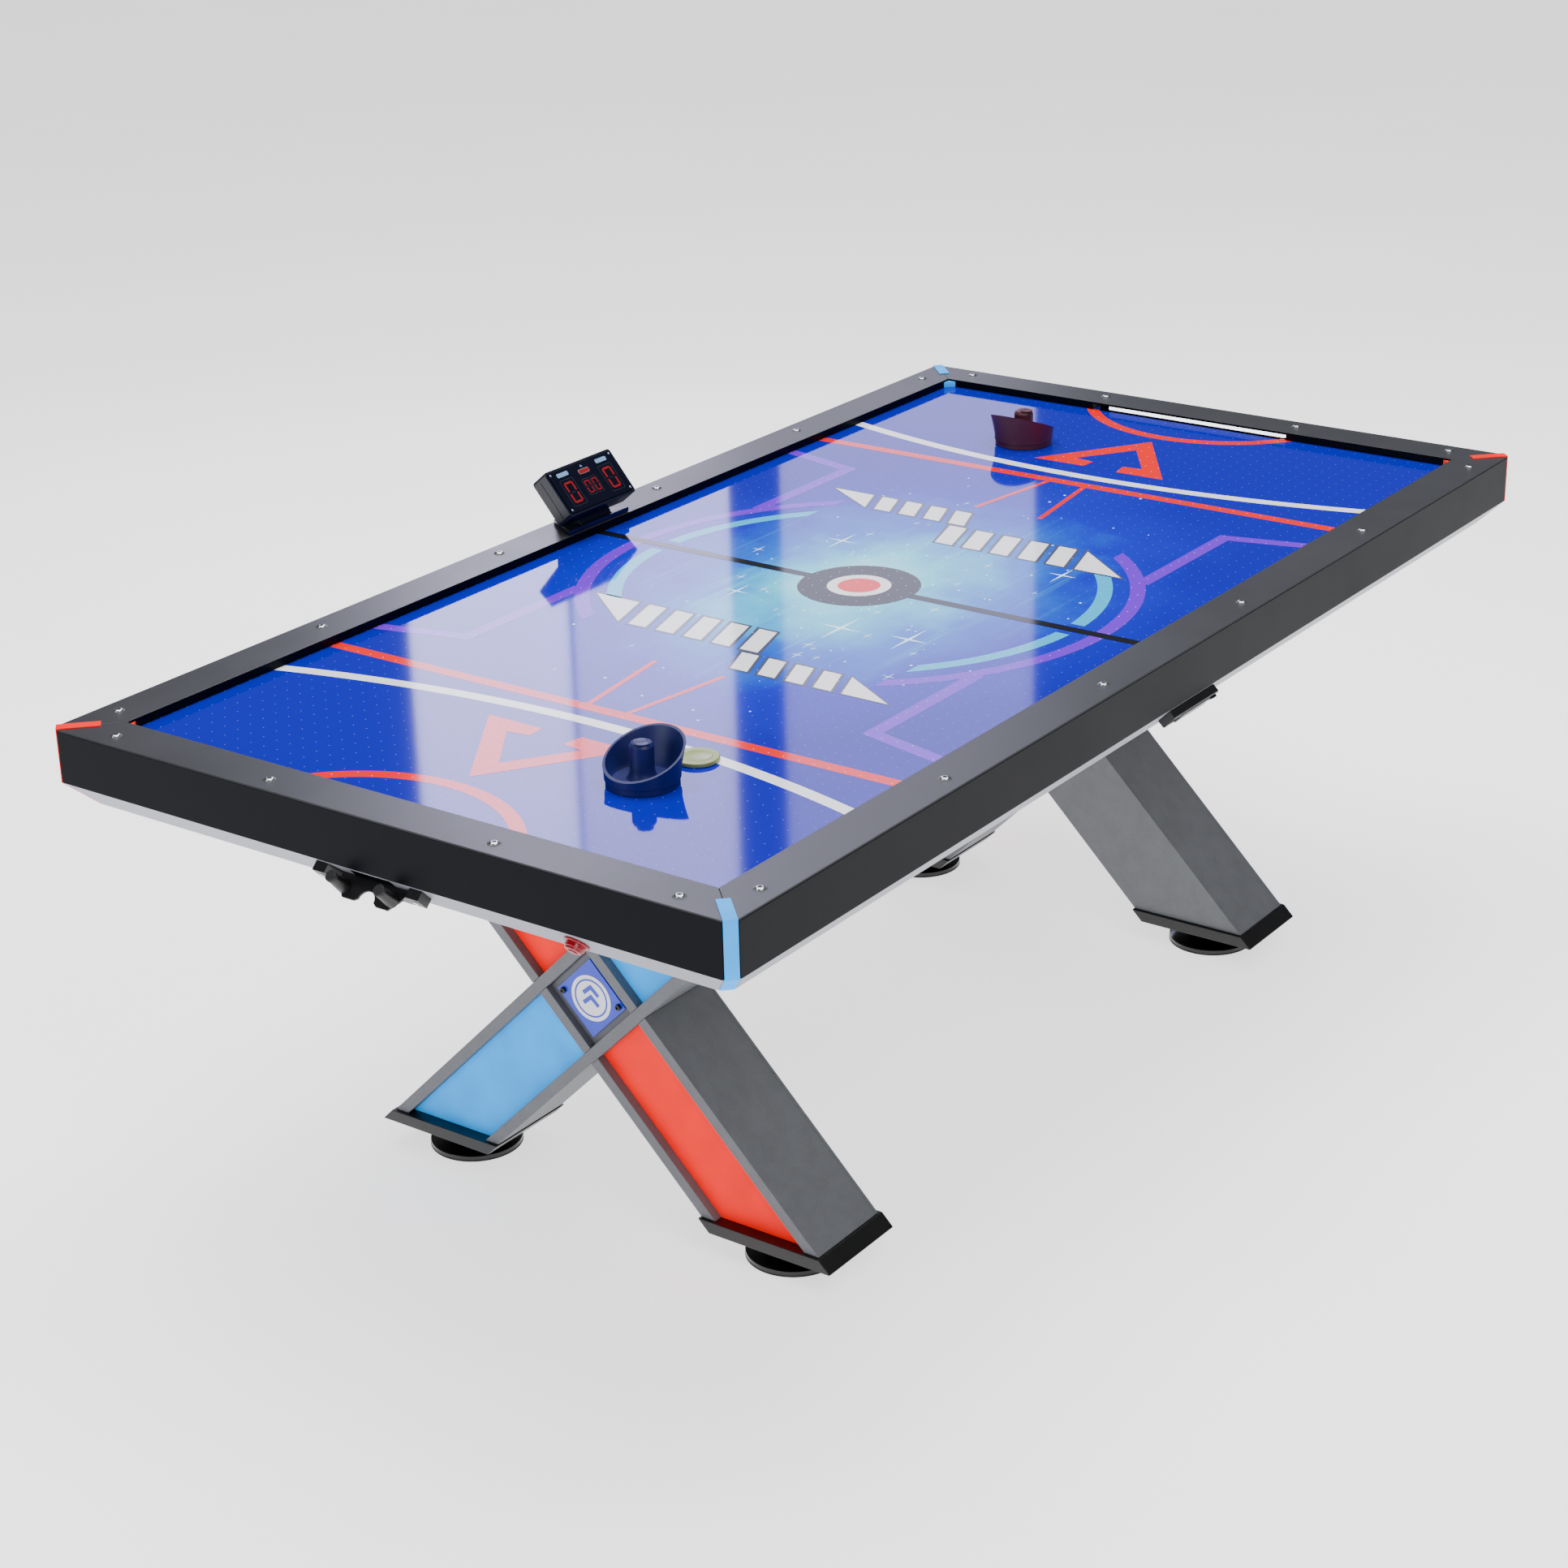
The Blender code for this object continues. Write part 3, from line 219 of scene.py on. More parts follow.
def printed(name, rgba, sizes, rim="#DDE4FF"):
    """Screen print under a clear coat, drilled with air holes, each painted as a dot in the rim colour: pale
    as a painted highlight on the rims, and darker on the white ink as painted shade in the holes.
    """
    # Emission 0.12 in the ink's own colour is a painted glow; the print is no lamp.
    material, tree, shader, point = new_material(name, Roughness=0.06, IOR=1.5, Emission_Strength=0.12)
    # The ink lies in specks of about 4 mm.
    ink = add_node(tree, "TexNoise", {"Vector": point, "Scale": 250.0, "Detail": 2.0, "Roughness": 0.55})
    tone = add_node(tree, "Mix", {0: ink, 6: scaled(rgba, 0.95), 7: scaled(rgba, 1.05)}, 2, data_type="RGBA")
    holes = hole_mask(tree, point, sizes)
    # The holes are painted in the rim colour: light and shade of the drilled holes, not ink.
    tone = add_node(tree, "Mix", {0: holes, 6: tone, 7: linear(rim)}, 2, data_type="RGBA")
    feed(tree, shader, Base_Color=tone, Emission_Color=tone)
    return material


def burst(sizes, colours):
    """The playfield's print: vivid blue with a cloud of cyan light at the centre, under a clear coat, and a
    faint painted glow all over.
    """
    # Emission 0.1 in the print's colour is a painted glow that keeps the blue vivid.
    material, tree, shader, point = new_material(
        "playfield print under clear coat", Roughness=0.06, IOR=1.5, Emission_Strength=0.1
    )
    # The light fades over 0.72 m from the centre, less across the table, and its edge wanders by 170 mm.
    squash = add_node(tree, "Mapping", {"Vector": point, "Scale": (1.0, 1.35, 0.0)})
    reach = add_node(tree, "VectorMath", {0: squash}, "Value", operation="LENGTH")
    cloud = add_node(tree, "TexNoise", {"Vector": point, "Scale": 1 / 0.16, "Detail": 4.0, "Roughness": 0.55})
    drift = add_node(tree, "MapRange", {"Value": cloud, "To Min": -0.17, "To Max": 0.17})
    ragged = add_node(tree, "Math", {0: reach, 1: drift}, operation="ADD")
    place = add_node(tree, "MapRange", {"Value": ragged, "From Max": 0.72})
    fade = add_node(tree, "ValToRGB", {"Fac": place})
    stops = fade.node.color_ramp.elements
    stops[0].color, stops[1].color = linear("#A6F2FF"), colours.field
    for where, tone in ((0.2, "#4FD0F0"), (0.42, "#0F6EDC"), (0.68, "#0418BE")):
        stops.new(where).color = linear(tone)
    # Streaks of light run along the table, a few millimetres wide and a hand long.
    stretched = add_node(tree, "Mapping", {"Vector": point, "Scale": (3.0, 60.0, 1.0)})
    streak = add_node(tree, "TexNoise", {"Vector": stretched, "Scale": 1.0, "Detail": 3.0})
    streak = add_node(tree, "MapRange", {"Value": streak, "From Min": 0.58, "From Max": 0.74})
    near_centre = {"Value": reach, "From Min": 0.05, "From Max": 0.5, "To Min": 0.75, "To Max": 0.0}
    near_centre = add_node(tree, "MapRange", near_centre)
    streak = add_node(tree, "Math", {0: streak, 1: near_centre}, operation="MULTIPLY")
    tone = add_node(tree, "Mix", {0: streak, 6: fade, 7: colours.glow}, 2, data_type="RGBA")
    holes = hole_mask(tree, point, sizes)
    # The holes are pale dots, a painted highlight on their rims.
    tone = add_node(tree, "Mix", {0: holes, 6: tone, 7: linear("#6E84F0")}, 2, data_type="RGBA")
    feed(tree, shader, Base_Color=tone, Emission_Color=tone)
    return material


def turned_steel():
    """Stainless steel, turned: bright, with a fine random scratch that softens the highlight."""
    material, tree, shader, point = new_material("turned stainless steel", Metallic=1.0, Roughness=0.22)
    scratch = {"Vector": point, "Scale": 1 / 0.0006, "Detail": 2.0, "Roughness": 0.55}
    fine = add_node(tree, "TexNoise", scratch)
    tone = add_node(tree, "Mix", {0: fine, 6: linear("#B9BBBE"), 7: linear("#DADCDE")}, 2, data_type="RGBA")
    relief = add_node(tree, "Bump", {"Height": fine, "Distance": 0.00002, "Strength": 1.0})
    feed(tree, shader, Base_Color=tone, Normal=relief)
    return material


def lit(name, hex_colour, strength):
    """Opal plastic or a lit segment: its own light, even apart from a faint cloud. On the white ink of the
    burst this light is a painted glow.
    """
    rgba = linear(hex_colour)
    material, tree, shader, point = new_material(name, Roughness=0.35, Emission_Strength=strength)
    cloud = add_node(tree, "TexNoise", {"Vector": point, "Scale": 1 / 0.03, "Detail": 2.0, "Roughness": 0.55})
    tone = add_node(tree, "Mix", {0: cloud, 6: scaled(rgba, 0.9), 7: rgba}, 2, data_type="RGBA")
    feed(tree, shader, Base_Color=tone, Emission_Color=tone)
    return material


def make_finishes():
    """Every finish by the name that the pieces use."""
    sizes, colours = bpy.context.scene.hockey_sizes, bpy.context.scene.hockey_colours
    return {
        # Melamine laminate, pressed on a matt plate: grey-black with a wide, dull sheen and fine pale flecks.
        # On the rail tops it is a lighter copy of the sides' laminate, its grey a painted sheen.
        "charcoal": laminate("charcoal laminate, painted sheen on tops", colours.rail, 0.34, 0.18, 0.0012, 0.35),
        # The same laminate on the rails' sides, painted near black as painted shade; it takes almost no light
        # from above.
        "rail face": laminate("charcoal laminate, painted shade on sides", linear("#06070D"), 0.4, 0.18, 0.0012, 0.06),
        # The slope under the rails: the same laminate painted pale grey, a painted reflection of the bright
        # floor, so the underside reads as a light line.
        "rail underside": laminate("charcoal laminate, painted floor reflection on slope", linear("#85868F"), 0.45, 0.2, 0.0014),
        # Laminate printed as cast concrete: an even grey with a faint cloud and a fine dark and light grain.
        "concrete": laminate("concrete-grey laminate", colours.leg, 0.6, 0.03, 0.0018),
        # Particle board, sealed with thin paint: chips show as a coarse mottle, with no shine.
        "particle board": laminate("sealed particle board", linear("#8E8C88"), 0.6, 0.01, 0.003),
        # Printed acrylic sheet under a clear coat: mirrors what stands over it, sharp and bright, and glows
        # faintly as painted light.
        "playfield": burst(sizes, colours),
        # Screen inks under the same clear coat: flat, full colours, with the holes' rims painted as dots of
        # painted highlight, and darker dots of painted shade on the white ink.
        "print red": printed("red screen print", colours.red, sizes),
        # On the white ink the holes are darker dots, painted shade in them.
        "print white": printed("white screen print", linear("#F2F2F6"), sizes, "#8A90B0"),
        "print purple": printed("purple screen print", colours.purple, sizes),
        "print cyan": printed("cyan screen print", colours.cyan, sizes),
        "print black": printed("black screen print", linear("#14151C"), sizes),
        "print grey": printed("grey screen print", linear("#4A4F66"), sizes),
        # Opaque white ink with a painted glow, so that it stands out of the cyan cloud like small lights.
        "sparkle": lit("white screen print with painted glow", "#D8FBFF", 0.35),
        # Acrylic sheet with lamps behind it: a flat bright colour with a satin face and hardly a highlight.
        "blue": moulded("blue satin acrylic", colours.panel_blue, 0.4, glow=0.4, Specular_IOR_Level=0.12),
        "red": moulded("red satin acrylic", colours.panel_red, 0.4, glow=0.4, Specular_IOR_Level=0.12),
        # ABS from a spark-eroded mould: black with a soft grey bloom along its edges.
        "black": moulded("black grained ABS", linear("#0C0C0E"), 0.38),
        # Polished polymer of the feet: deep black with small hard highlights on the dome.
        "gloss black": moulded("gloss black polymer", linear("#07070A"), 0.2),
        # Board under rolled black paint: an orange-peel skin 3 mm across.
        "painted foot": moulded("black painted board", linear("#08080A"), 0.42, 0.003, 0.00012),
        # Vulcanised rubber: dull, with a dry grain.
        "rubber": moulded("black rubber", linear("#101012"), 0.62, 0.0015, 0.0001),
        # Grey ABS of the control plate: a plain middle grey, satin.
        "grey plate": moulded("grey moulded plate", linear("#5B5D61"), 0.45),
        # Powder coat on sheet steel: matt black with a baked, pebbled skin.
        "powder coat": moulded("black powder coat", linear("#141416"), 0.5, 0.0015, 0.0001),
        # Turned stainless steel: white glints on the screws.
        "steel": turned_steel(),
        # Blackened steel of the cup washers: a grey ring that sets each bright screw off.
        "dark steel": moulded("blackened steel", linear("#3A3B3E"), 0.4),
        # Pad-printed inks on the scoreboard: small pale marks on a dark face.
        "pale print": moulded("pale grey print", linear("#9A8C96"), 0.4),
        "blue print": moulded("pale blue print", linear("#7C9CC8"), 0.4),
        # Polycarbonate of the mallets: a full colour with a broad satin highlight round the rim.
        "navy": moulded("navy high-impact plastic", colours.mallet_near, 0.45),
        "maroon": moulded("maroon high-impact plastic", colours.mallet_far, 0.5),
        # Polycarbonate of the puck, polished by play: pale olive with a clear highlight.
        "puck": moulded("olive polycarbonate", colours.puck, 0.3),
        # Tinted acrylic, polished: deep red, bright where light catches its rings, and a faint painted glow
        # all over.
        "clear red": moulded("deep red acrylic with painted glow", linear("#8A0A18"), 0.14, glow=0.1),
        # Opal acrylic with lamps behind it: a white bar of even light.
        "diffuser": lit("opal diffuser", "#F6F7FF", 4.0),
        # Polished ABS of the scoreboard: blue-black, with thin highlights along its rounded edges.
        "shell": moulded("midnight gloss ABS", linear("#0B0F22"), 0.3),
        # Smoked acrylic over the digits: darker than the shell and nearly mirror smooth.
        "window": moulded("smoked navy window", linear("#080B1C"), 0.12, 0.004, 0.00001),
        # Lit segments behind the smoke: a dim, even red.
        "segment": lit("red light-emitting segment", "#86060F", 0.35),
        # Printed outlines round the digits: a grey just lighter than the window.
        "ghost": moulded("unlit outline", linear("#3A3D49"), 0.3),
        # Printed aluminium plate and disc of the emblem: satin blue and white, the blue plate with a faint
        # painted glow.
        "emblem": moulded("blue printed plate with painted glow", linear("#1A34C0"), 0.3, glow=0.15),
        "emblem white": moulded("white printed disc", linear("#E9EAEE"), 0.3),
    }


# Filled by main, once the settings are registered.
FINISH = {}


# ---------------------------------------------------------------- modelling helpers
def deselect():
    """Leaves edit mode and selects nothing."""
    if bpy.context.mode != "OBJECT":
        bpy.ops.object.mode_set(mode="OBJECT")
    bpy.ops.object.select_all(action="DESELECT")


def only(piece):
    """Selects one piece and makes it active."""
    deselect()
    piece.select_set(True)
    bpy.context.view_layer.objects.active = piece


def settle(piece, place=None):
    """Puts the object's place into its mesh, so that the object stands at the origin."""
    if place is not None:
        piece.matrix_world = place @ piece.matrix_world
    only(piece)
    bpy.ops.object.transform_apply(location=True, rotation=True, scale=True)


def finish_piece(piece, name, finish, body="table", smooth=30):
    """Names a piece, gives it its finish, smooths it under an angle in degrees and puts it on its body."""
    piece.name = piece.data.name = name
    piece.data.materials.clear()
    piece.data.materials.append(FINISH[finish])
    only(piece)
    if smooth:
        bpy.ops.object.shade_smooth_by_angle(angle=math.radians(smooth))
    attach(piece, body)
    return piece


def apply_modifier(piece, kind, **settings):
    """Adds a modifier with its settings and applies it."""
    modifier = piece.modifiers.new(kind.title(), kind)
    for name, value in settings.items():
        setattr(modifier, name, value)
    only(piece)
    bpy.ops.object.modifier_apply(modifier=modifier.name)


def bevel(piece, width, segments=3):
    """Eases the edges that turn by more than 28 degrees."""
    turn = math.radians(28)
    apply_modifier(piece, "BEVEL", width=width, segments=segments, limit_method="ANGLE", angle_limit=turn)


def cuboid(low, high, place=None, edge=0.0):
    """A block between two local corners, with its edges eased."""
    deselect()
    low, high = Vector(low), Vector(high)
    bpy.ops.mesh.primitive_cube_add(size=1, location=(low + high) / 2, scale=high - low)
    piece = bpy.context.object
    settle(piece)
    if edge:
        bevel(piece, edge)
    settle(piece, place)
    return piece


def lathe(rings, place=None, sides=64):
    """A turned piece: a disc at the first (radius, height), drawn out ring by ring to the last."""
    deselect()
    (radius, height), rest = rings[0], rings[1:]
    start = (0, 0, height)
    bpy.ops.mesh.primitive_circle_add(vertices=sides, radius=radius, fill_type="NGON", location=start)
    piece = bpy.context.object
    bpy.ops.object.transform_apply(location=True)
    bpy.ops.object.mode_set(mode="EDIT")
    bpy.ops.mesh.select_all(action="SELECT")
    for new_radius, new_height in rest:
        bpy.ops.mesh.extrude_region_move(TRANSFORM_OT_translate={"value": (0, 0, new_height - height)})
        grow = new_radius / radius
        bpy.ops.transform.resize(value=(grow, grow, 1), center_override=(0, 0, new_height))
        radius, height = new_radius, new_height
    bpy.ops.mesh.select_all(action="SELECT")
    bpy.ops.mesh.normals_make_consistent(inside=False)
    bpy.ops.object.mode_set(mode="OBJECT")
    settle(piece, place)
    return piece


def flat_shape(loops, low, high, place=None):
    """Flat outlines in local XY, filled, with thickness from local Z = low to high."""
    deselect()
    curve = bpy.data.curves.new("outline", "CURVE")
    curve.dimensions = "2D"
    curve.fill_mode = "BOTH"
    curve.extrude = (high - low) / 2
    for loop in loops:
        spline = curve.splines.new("POLY")
        spline.points.add(len(loop) - 1)
        for point, (x, y) in zip(spline.points, loop):
            point.co = (x, y, 0, 1)
        spline.use_cyclic_u = True
    piece = bpy.data.objects.new("outline", curve)
    bpy.context.scene.collection.objects.link(piece)
    piece.location.z = (low + high) / 2
    only(piece)
    bpy.ops.object.convert(target="MESH")
    piece = bpy.context.object
    bpy.ops.object.mode_set(mode="EDIT")
    bpy.ops.mesh.select_all(action="SELECT")
    bpy.ops.mesh.remove_doubles(threshold=1e-6)
    bpy.ops.mesh.normals_make_consistent(inside=False)
    bpy.ops.object.mode_set(mode="OBJECT")
    settle(piece, place)
    return piece


def joined(pieces):
    """Several pieces as one object."""
    deselect()
    for piece in pieces:
        piece.select_set(True)
    bpy.context.view_layer.objects.active = pieces[0]
    bpy.ops.object.join()
    return bpy.context.object


def copy_at(piece, place):
    """A copy with its own mesh, moved by a matrix."""
    twin = bpy.data.objects.new(piece.name, piece.data.copy())
    bpy.context.scene.collection.objects.link(twin)
    settle(twin, place)
    return twin


def eased_copy(node, name, finish, edge, body="table"):
    """A copy of a CAD node, merged, with its flat faces made whole and its sharp edges eased."""
    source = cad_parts[node]
    piece = bpy.data.objects.new(name, source.data.copy())
    bpy.context.scene.collection.objects.link(piece)
    only(piece)
    bpy.ops.object.mode_set(mode="EDIT")
    bpy.ops.mesh.select_all(action="SELECT")
    bpy.ops.mesh.remove_doubles(threshold=1e-6)
    bpy.ops.mesh.dissolve_limited(angle_limit=math.radians(0.5))
    bpy.ops.object.mode_set(mode="OBJECT")
    bevel(piece, edge, 2)
    finish_piece(piece, name, finish, body)
    apply_modifier(piece, "WEIGHTED_NORMAL", keep_sharp=True, weight=100)
    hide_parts(node)
    return piece


def arc(centre, radius, start, end, steps=32):
    """Points round an arc, its angles in degrees."""
    turn = [math.radians(start + (end - start) * i / steps) for i in range(steps + 1)]
    return [(centre[0] + radius * math.cos(a), centre[1] + radius * math.sin(a)) for a in turn]


def rounded(x, y, wide, tall, radius):
    """A rectangle about (x, y) with rounded corners."""
    a, b = wide / 2 - radius, tall / 2 - radius
    return (arc((x + a, y - b), radius, -90, 0, 5) + arc((x + a, y + b), radius, 0, 90, 5)
            + arc((x - a, y + b), radius, 90, 180, 5) + arc((x - a, y - b), radius, 180, 270, 5))


def ring_loops(*radii, steps=96):
    """Whole circles about the origin: one for a disc, or two for a ring."""
    return [arc((0, 0), radius, 0, 360 - 360 / steps, steps - 1) for radius in radii]


def ribbon(path, width):
    """Outline of a band of even width along a path, with mitred bends."""
    points = [Vector(p) for p in path]
    ways = [(b - a).normalized() for a, b in zip(points, points[1:])]
    sides = [Vector((-w.y, w.x)) for w in ways]
    left, right = [], []
    for i, point in enumerate(points):
        before, after = sides[max(i - 1, 0)], sides[min(i, len(sides) - 1)]
        middle = (before + after).normalized()
        shift = middle * (width / 2 / middle.dot(after))
        left.append(tuple(point + shift))
        right.append(tuple(point - shift))
    return left + right[::-1]


def mirrored(outline, x=1, y=1):
    """An outline with its x or y turned over where the factor is -1."""
    return [(px * x, py * y) for px, py in outline]


def chamfer_axes(turn):
    """On the slope under a rail: X along the rail, Y down the slope from its upper edge, Z out of it."""
    slope = math.hypot(CHAMFER_RUN, CHAMFER_DROP)
    down = Vector((CHAMFER_RUN, 0, -CHAMFER_DROP)) / slope
    out = Vector((-CHAMFER_DROP, 0, -CHAMFER_RUN)) / slope
    matrix = Matrix((Y, down, out)).transposed().to_4x4()
    matrix.translation = (-HALF_LENGTH, 0, RAIL_TOP - CHAMFER_START)
    return turn @ matrix


def at(x=0.0, y=0.0, z=0.0):
    """A shift, as a matrix."""
    return Matrix.Translation((x, y, z))


# ---------------------------------------------------------------- rails
class HOCKEY_OT_rails(bpy.types.Operator):
    """Finish the rails, with screws, corner strips and the blocks inside the playfield's corners"""

    bl_idname = "hockey.rails"
    bl_label = "Rails"
    bl_options = {"REGISTER", "UNDO"}

    def execute(self, context):
        sizes = context.scene.hockey_sizes
        for name in ("near", "far", "front", "back"):
            rail = eased_copy(
                f"rail_{name}", f"rail_{name}_finished", "rail face", sizes.edge
            )
            # Lit and shaded copies of one laminate: painted sheen on the tops, painted floor reflection on
            # the slope, painted shade on the sides.
            face_up_or_down(rail, "charcoal", "rail underside")
        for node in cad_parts:
            if node.startswith("corner_strip"):
                tone = "blue" if node.endswith(("near_front", "far_back")) else "red"
                dress(node, tone)
        self.screws(sizes)
        self.corner_blocks()
        return {"FINISHED"}

    def screws(self, sizes):
        """Button heads, each with a black hexagon in its socket as painted shade, on a thin cup washer."""
        radius = sizes.screw_radius
        dome = [(radius, 0), (radius, 0.0006), (radius * 0.93, 0.0015), (radius * 0.75, 0.0024)]
        socket = [(radius * 0.5, 0.0028), (radius * 0.42, 0.0027), (radius * 0.4, 0.0009)]
        head = lathe(dome + socket, at(z=RAIL_TOP), 48)
        cup = [(radius * 1.3, 0), (radius * 1.3, 0.0002), (radius * 1.22, 0.0005)]
        washer = lathe(cup, at(z=RAIL_TOP), 48)
        # A black hexagon in the head's socket: painted shade where the hex hole lies.
        socket_shade = lathe([(radius * 0.41, 0.0019), (radius * 0.41, 0.0021)], at(z=RAIL_TOP), 6)
        # Six along each long rail and four along each end rail, a little outside the middle of its top.
        line_y, line_x = 0.565, 1.113
        stations = (-1.042, -0.625, -0.2085, 0.2085, 0.625, 1.042)
        places = [(x, side * line_y) for x in stations for side in (-1, 1)]
        places += [(side * line_x, y) for y in (-0.495, -0.198, 0.198, 0.495) for side in (-1, 1)]
        for i, (x, y) in enumerate(places):
            finish_piece(copy_at(head, at(x, y)), f"rail_screw_{i + 1:02d}", "steel")
            finish_piece(copy_at(washer, at(x, y)), f"rail_washer_{i + 1:02d}", "dark steel")
            finish_piece(copy_at(socket_shade, at(x, y)), f"rail_screw_recess_{i + 1:02d}", "black")
        for pattern in (head, washer, socket_shade):
            bpy.data.objects.remove(pattern)

    def corner_blocks(self):
        """A low coloured block in each corner of the playfield, hollowed towards the middle."""
        reach, low, high = 0.016, FIELD_TOP + 0.0001, RAIL_TOP - 0.0035
        near, far = reach * 0.2, reach * 0.62
        outline = [(0, 0), (reach, 0), (far, near), (near, far), (0, reach)]
        for name, x, y, tone in (
            ("near_front", -1, -1, "blue"), ("near_back", -1, 1, "red"),
            ("far_front", 1, -1, "red"), ("far_back", 1, 1, "blue"),
        ):
            corner = [(x * (INNER_LENGTH - a), y * (INNER_WIDTH - b)) for a, b in outline]
            block = flat_shape([corner], low, high)
            bevel(block, 0.0006, 2)
            finish_piece(block, f"corner_block_{name}", tone)


def face_up_or_down(piece, upper, under):
    """Gives the faces that look up, and the slope underneath, finishes of their own: lighter on the tops as
    painted sheen, pale on the slope as a painted reflection of the floor, and the sides left darker as
    painted shade.
    """
    for finish in (upper, under):
        piece.data.materials.append(FINISH[finish])
    for face in piece.data.polygons:
        if face.normal.z > 0.6:
            face.material_index = 1
        elif -0.9 < face.normal.z < -0.4:
            face.material_index = 2


def dress(node, finish):
    """Gives a CAD node its finish as it is."""
    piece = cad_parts[node]
    piece.data.materials.clear()
    piece.data.materials.append(FINISH[finish])


# ---------------------------------------------------------------- playfield
class HOCKEY_OT_playfield(bpy.types.Operator):
    """Print the playfield's lines, arcs, marks, bars and sparkles, and fit the goals' lights"""

    bl_idname = "hockey.playfield"
    bl_label = "Playfield"
    bl_options = {"REGISTER", "UNDO"}

    def execute(self, context):
        self.sizes = context.scene.hockey_sizes
        dress("playfield", "playfield")
        self.cross_lines()
        self.arcs()
        self.end_marks()
        self.slanted_bars()
        self.centre_mark()
        self.sparkles()
        self.diffusers()
        return {"FINISHED"}

    def layer(self, name, loops, finish, level):
        """One printed shape, its layer counted from the playfield up."""
        low = FIELD_TOP + level * self.sizes.layer
        finish_piece(flat_shape(loops, low, low + self.sizes.layer * FILLED), name, finish, smooth=0)

    def cross_lines(self):
        """A straight red and a bowed white line across each half, and a black one across the middle."""
        half = self.sizes.line_width / 2
        edge = INNER_WIDTH + UNDER_RAIL
        near, far = 0.644 - half, 0.644 + half
        for name, side in (("near", -1), ("far", 1)):
            line = mirrored([(near, -edge), (far, -edge), (far, edge), (near, edge)], side)
            self.layer(f"print_red_line_{name}", [line], "print red", 2)
            # The white line bows towards the middle of the table, and crosses its axis at the middle value.
            radius, middle = 1.850, 0.688
            spread = math.degrees(math.asin(edge / radius))
            centre = (middle + radius, 0)
            outer = arc(centre, radius + half, 180 - spread, 180 + spread, 40)
            inner = arc(centre, radius - half, 180 + spread, 180 - spread, 40)
            self.layer(f"print_white_line_{name}", [mirrored(outer + inner, side)], "print white", 1)
        half = 0.0095
        centre_line = [(-half, -edge), (half, -edge), (half, edge), (-half, edge)]
        self.layer("print_centre_line", [centre_line], "print black", 4)

    def arcs(self):
        """Four cyan arcs, and two purple ones outside them that branch off to the rails."""
        width = self.sizes.arc_width
        outer = self.sizes.cyan_radius
        inner = outer - width
        # The cyan arcs stop at cut_y before the ends, and gap_x short of the centre line.
        cut_y, gap_x = 0.277, 0.022
        low_out, low_in = (math.degrees(math.asin(cut_y / radius)) for radius in (outer, inner))
        high_out, high_in = (math.degrees(math.acos(gap_x / radius)) for radius in (outer, inner))
        band = arc((0, 0), outer, low_out, high_out) + arc((0, 0), inner, high_in, low_in)
        branch_y = 0.3725
        branch = [(0.240, branch_y), (0.512, branch_y), (0.549, INNER_WIDTH + UNDER_RAIL)]
        branch = ribbon(branch, width)
        for name, x, y in (("1", 1, 1), ("2", -1, 1), ("3", -1, -1), ("4", 1, -1)):
            self.layer(f"print_cyan_arc_{name}", [mirrored(band, x, y)], "print cyan", 3)
            self.layer(f"print_purple_branch_{name}", [mirrored(branch, x, y)], "print purple", 2)
        outer = self.sizes.purple_radius
        inner = outer - width
        cut_y, steps = 0.271, 72
        low_out, low_in = (math.degrees(math.asin(cut_y / radius)) for radius in (outer, inner))
        band = arc((0, 0), outer, low_out, 180 - low_out, steps)
        band += arc((0, 0), inner, 180 - low_in, low_in, steps)
        for name, y in (("front", -1), ("back", 1)):
            self.layer(f"print_purple_arc_{name}", [mirrored(band, 1, y)], "print purple", 3)

    def end_marks(self):
        """A goal crease, an open triangle and two rays at each end."""
        triangle = [
            (0.742, 0.130), (0.935, 0), (0.742, -0.130), (0.740, -0.038), (0.774, -0.032),
            (0.779, -0.068), (0.875, -0.002), (0.779, 0.066), (0.774, 0.028), (0.744, 0.030),
        ]
        edge = INNER_LENGTH + UNDER_RAIL
        # The crease is part of a ring whose middle lies outside the playfield.
        middle, outer, inner = 1.217, 0.260, 0.238
        out_turn, in_turn = (math.degrees(math.acos((middle - edge) / radius)) for radius in (outer, inner))
        crease = arc((middle, 0), outer, 180 - out_turn, 180 + out_turn)
        crease += arc((middle, 0), inner, 180 + in_turn, 180 - in_turn)
        ray = ribbon([(0.640, 0.035), (0.442, 0.063)], 0.009)
        for name, side in (("near", -1), ("far", 1)):
            self.layer(f"print_crease_{name}", [mirrored(crease, side)], "print red", 2)
            self.layer(f"print_triangle_{name}", [mirrored(triangle, side)], "print red", 3)
            for hand, y in (("left", 1), ("right", -1)):
                self.layer(f"print_ray_{name}_{hand}", [mirrored(ray, side, y)], "print red", 3)

    def slanted_bars(self):
        """Two rows of slanted bars at each side of the centre, white with a dark edge."""
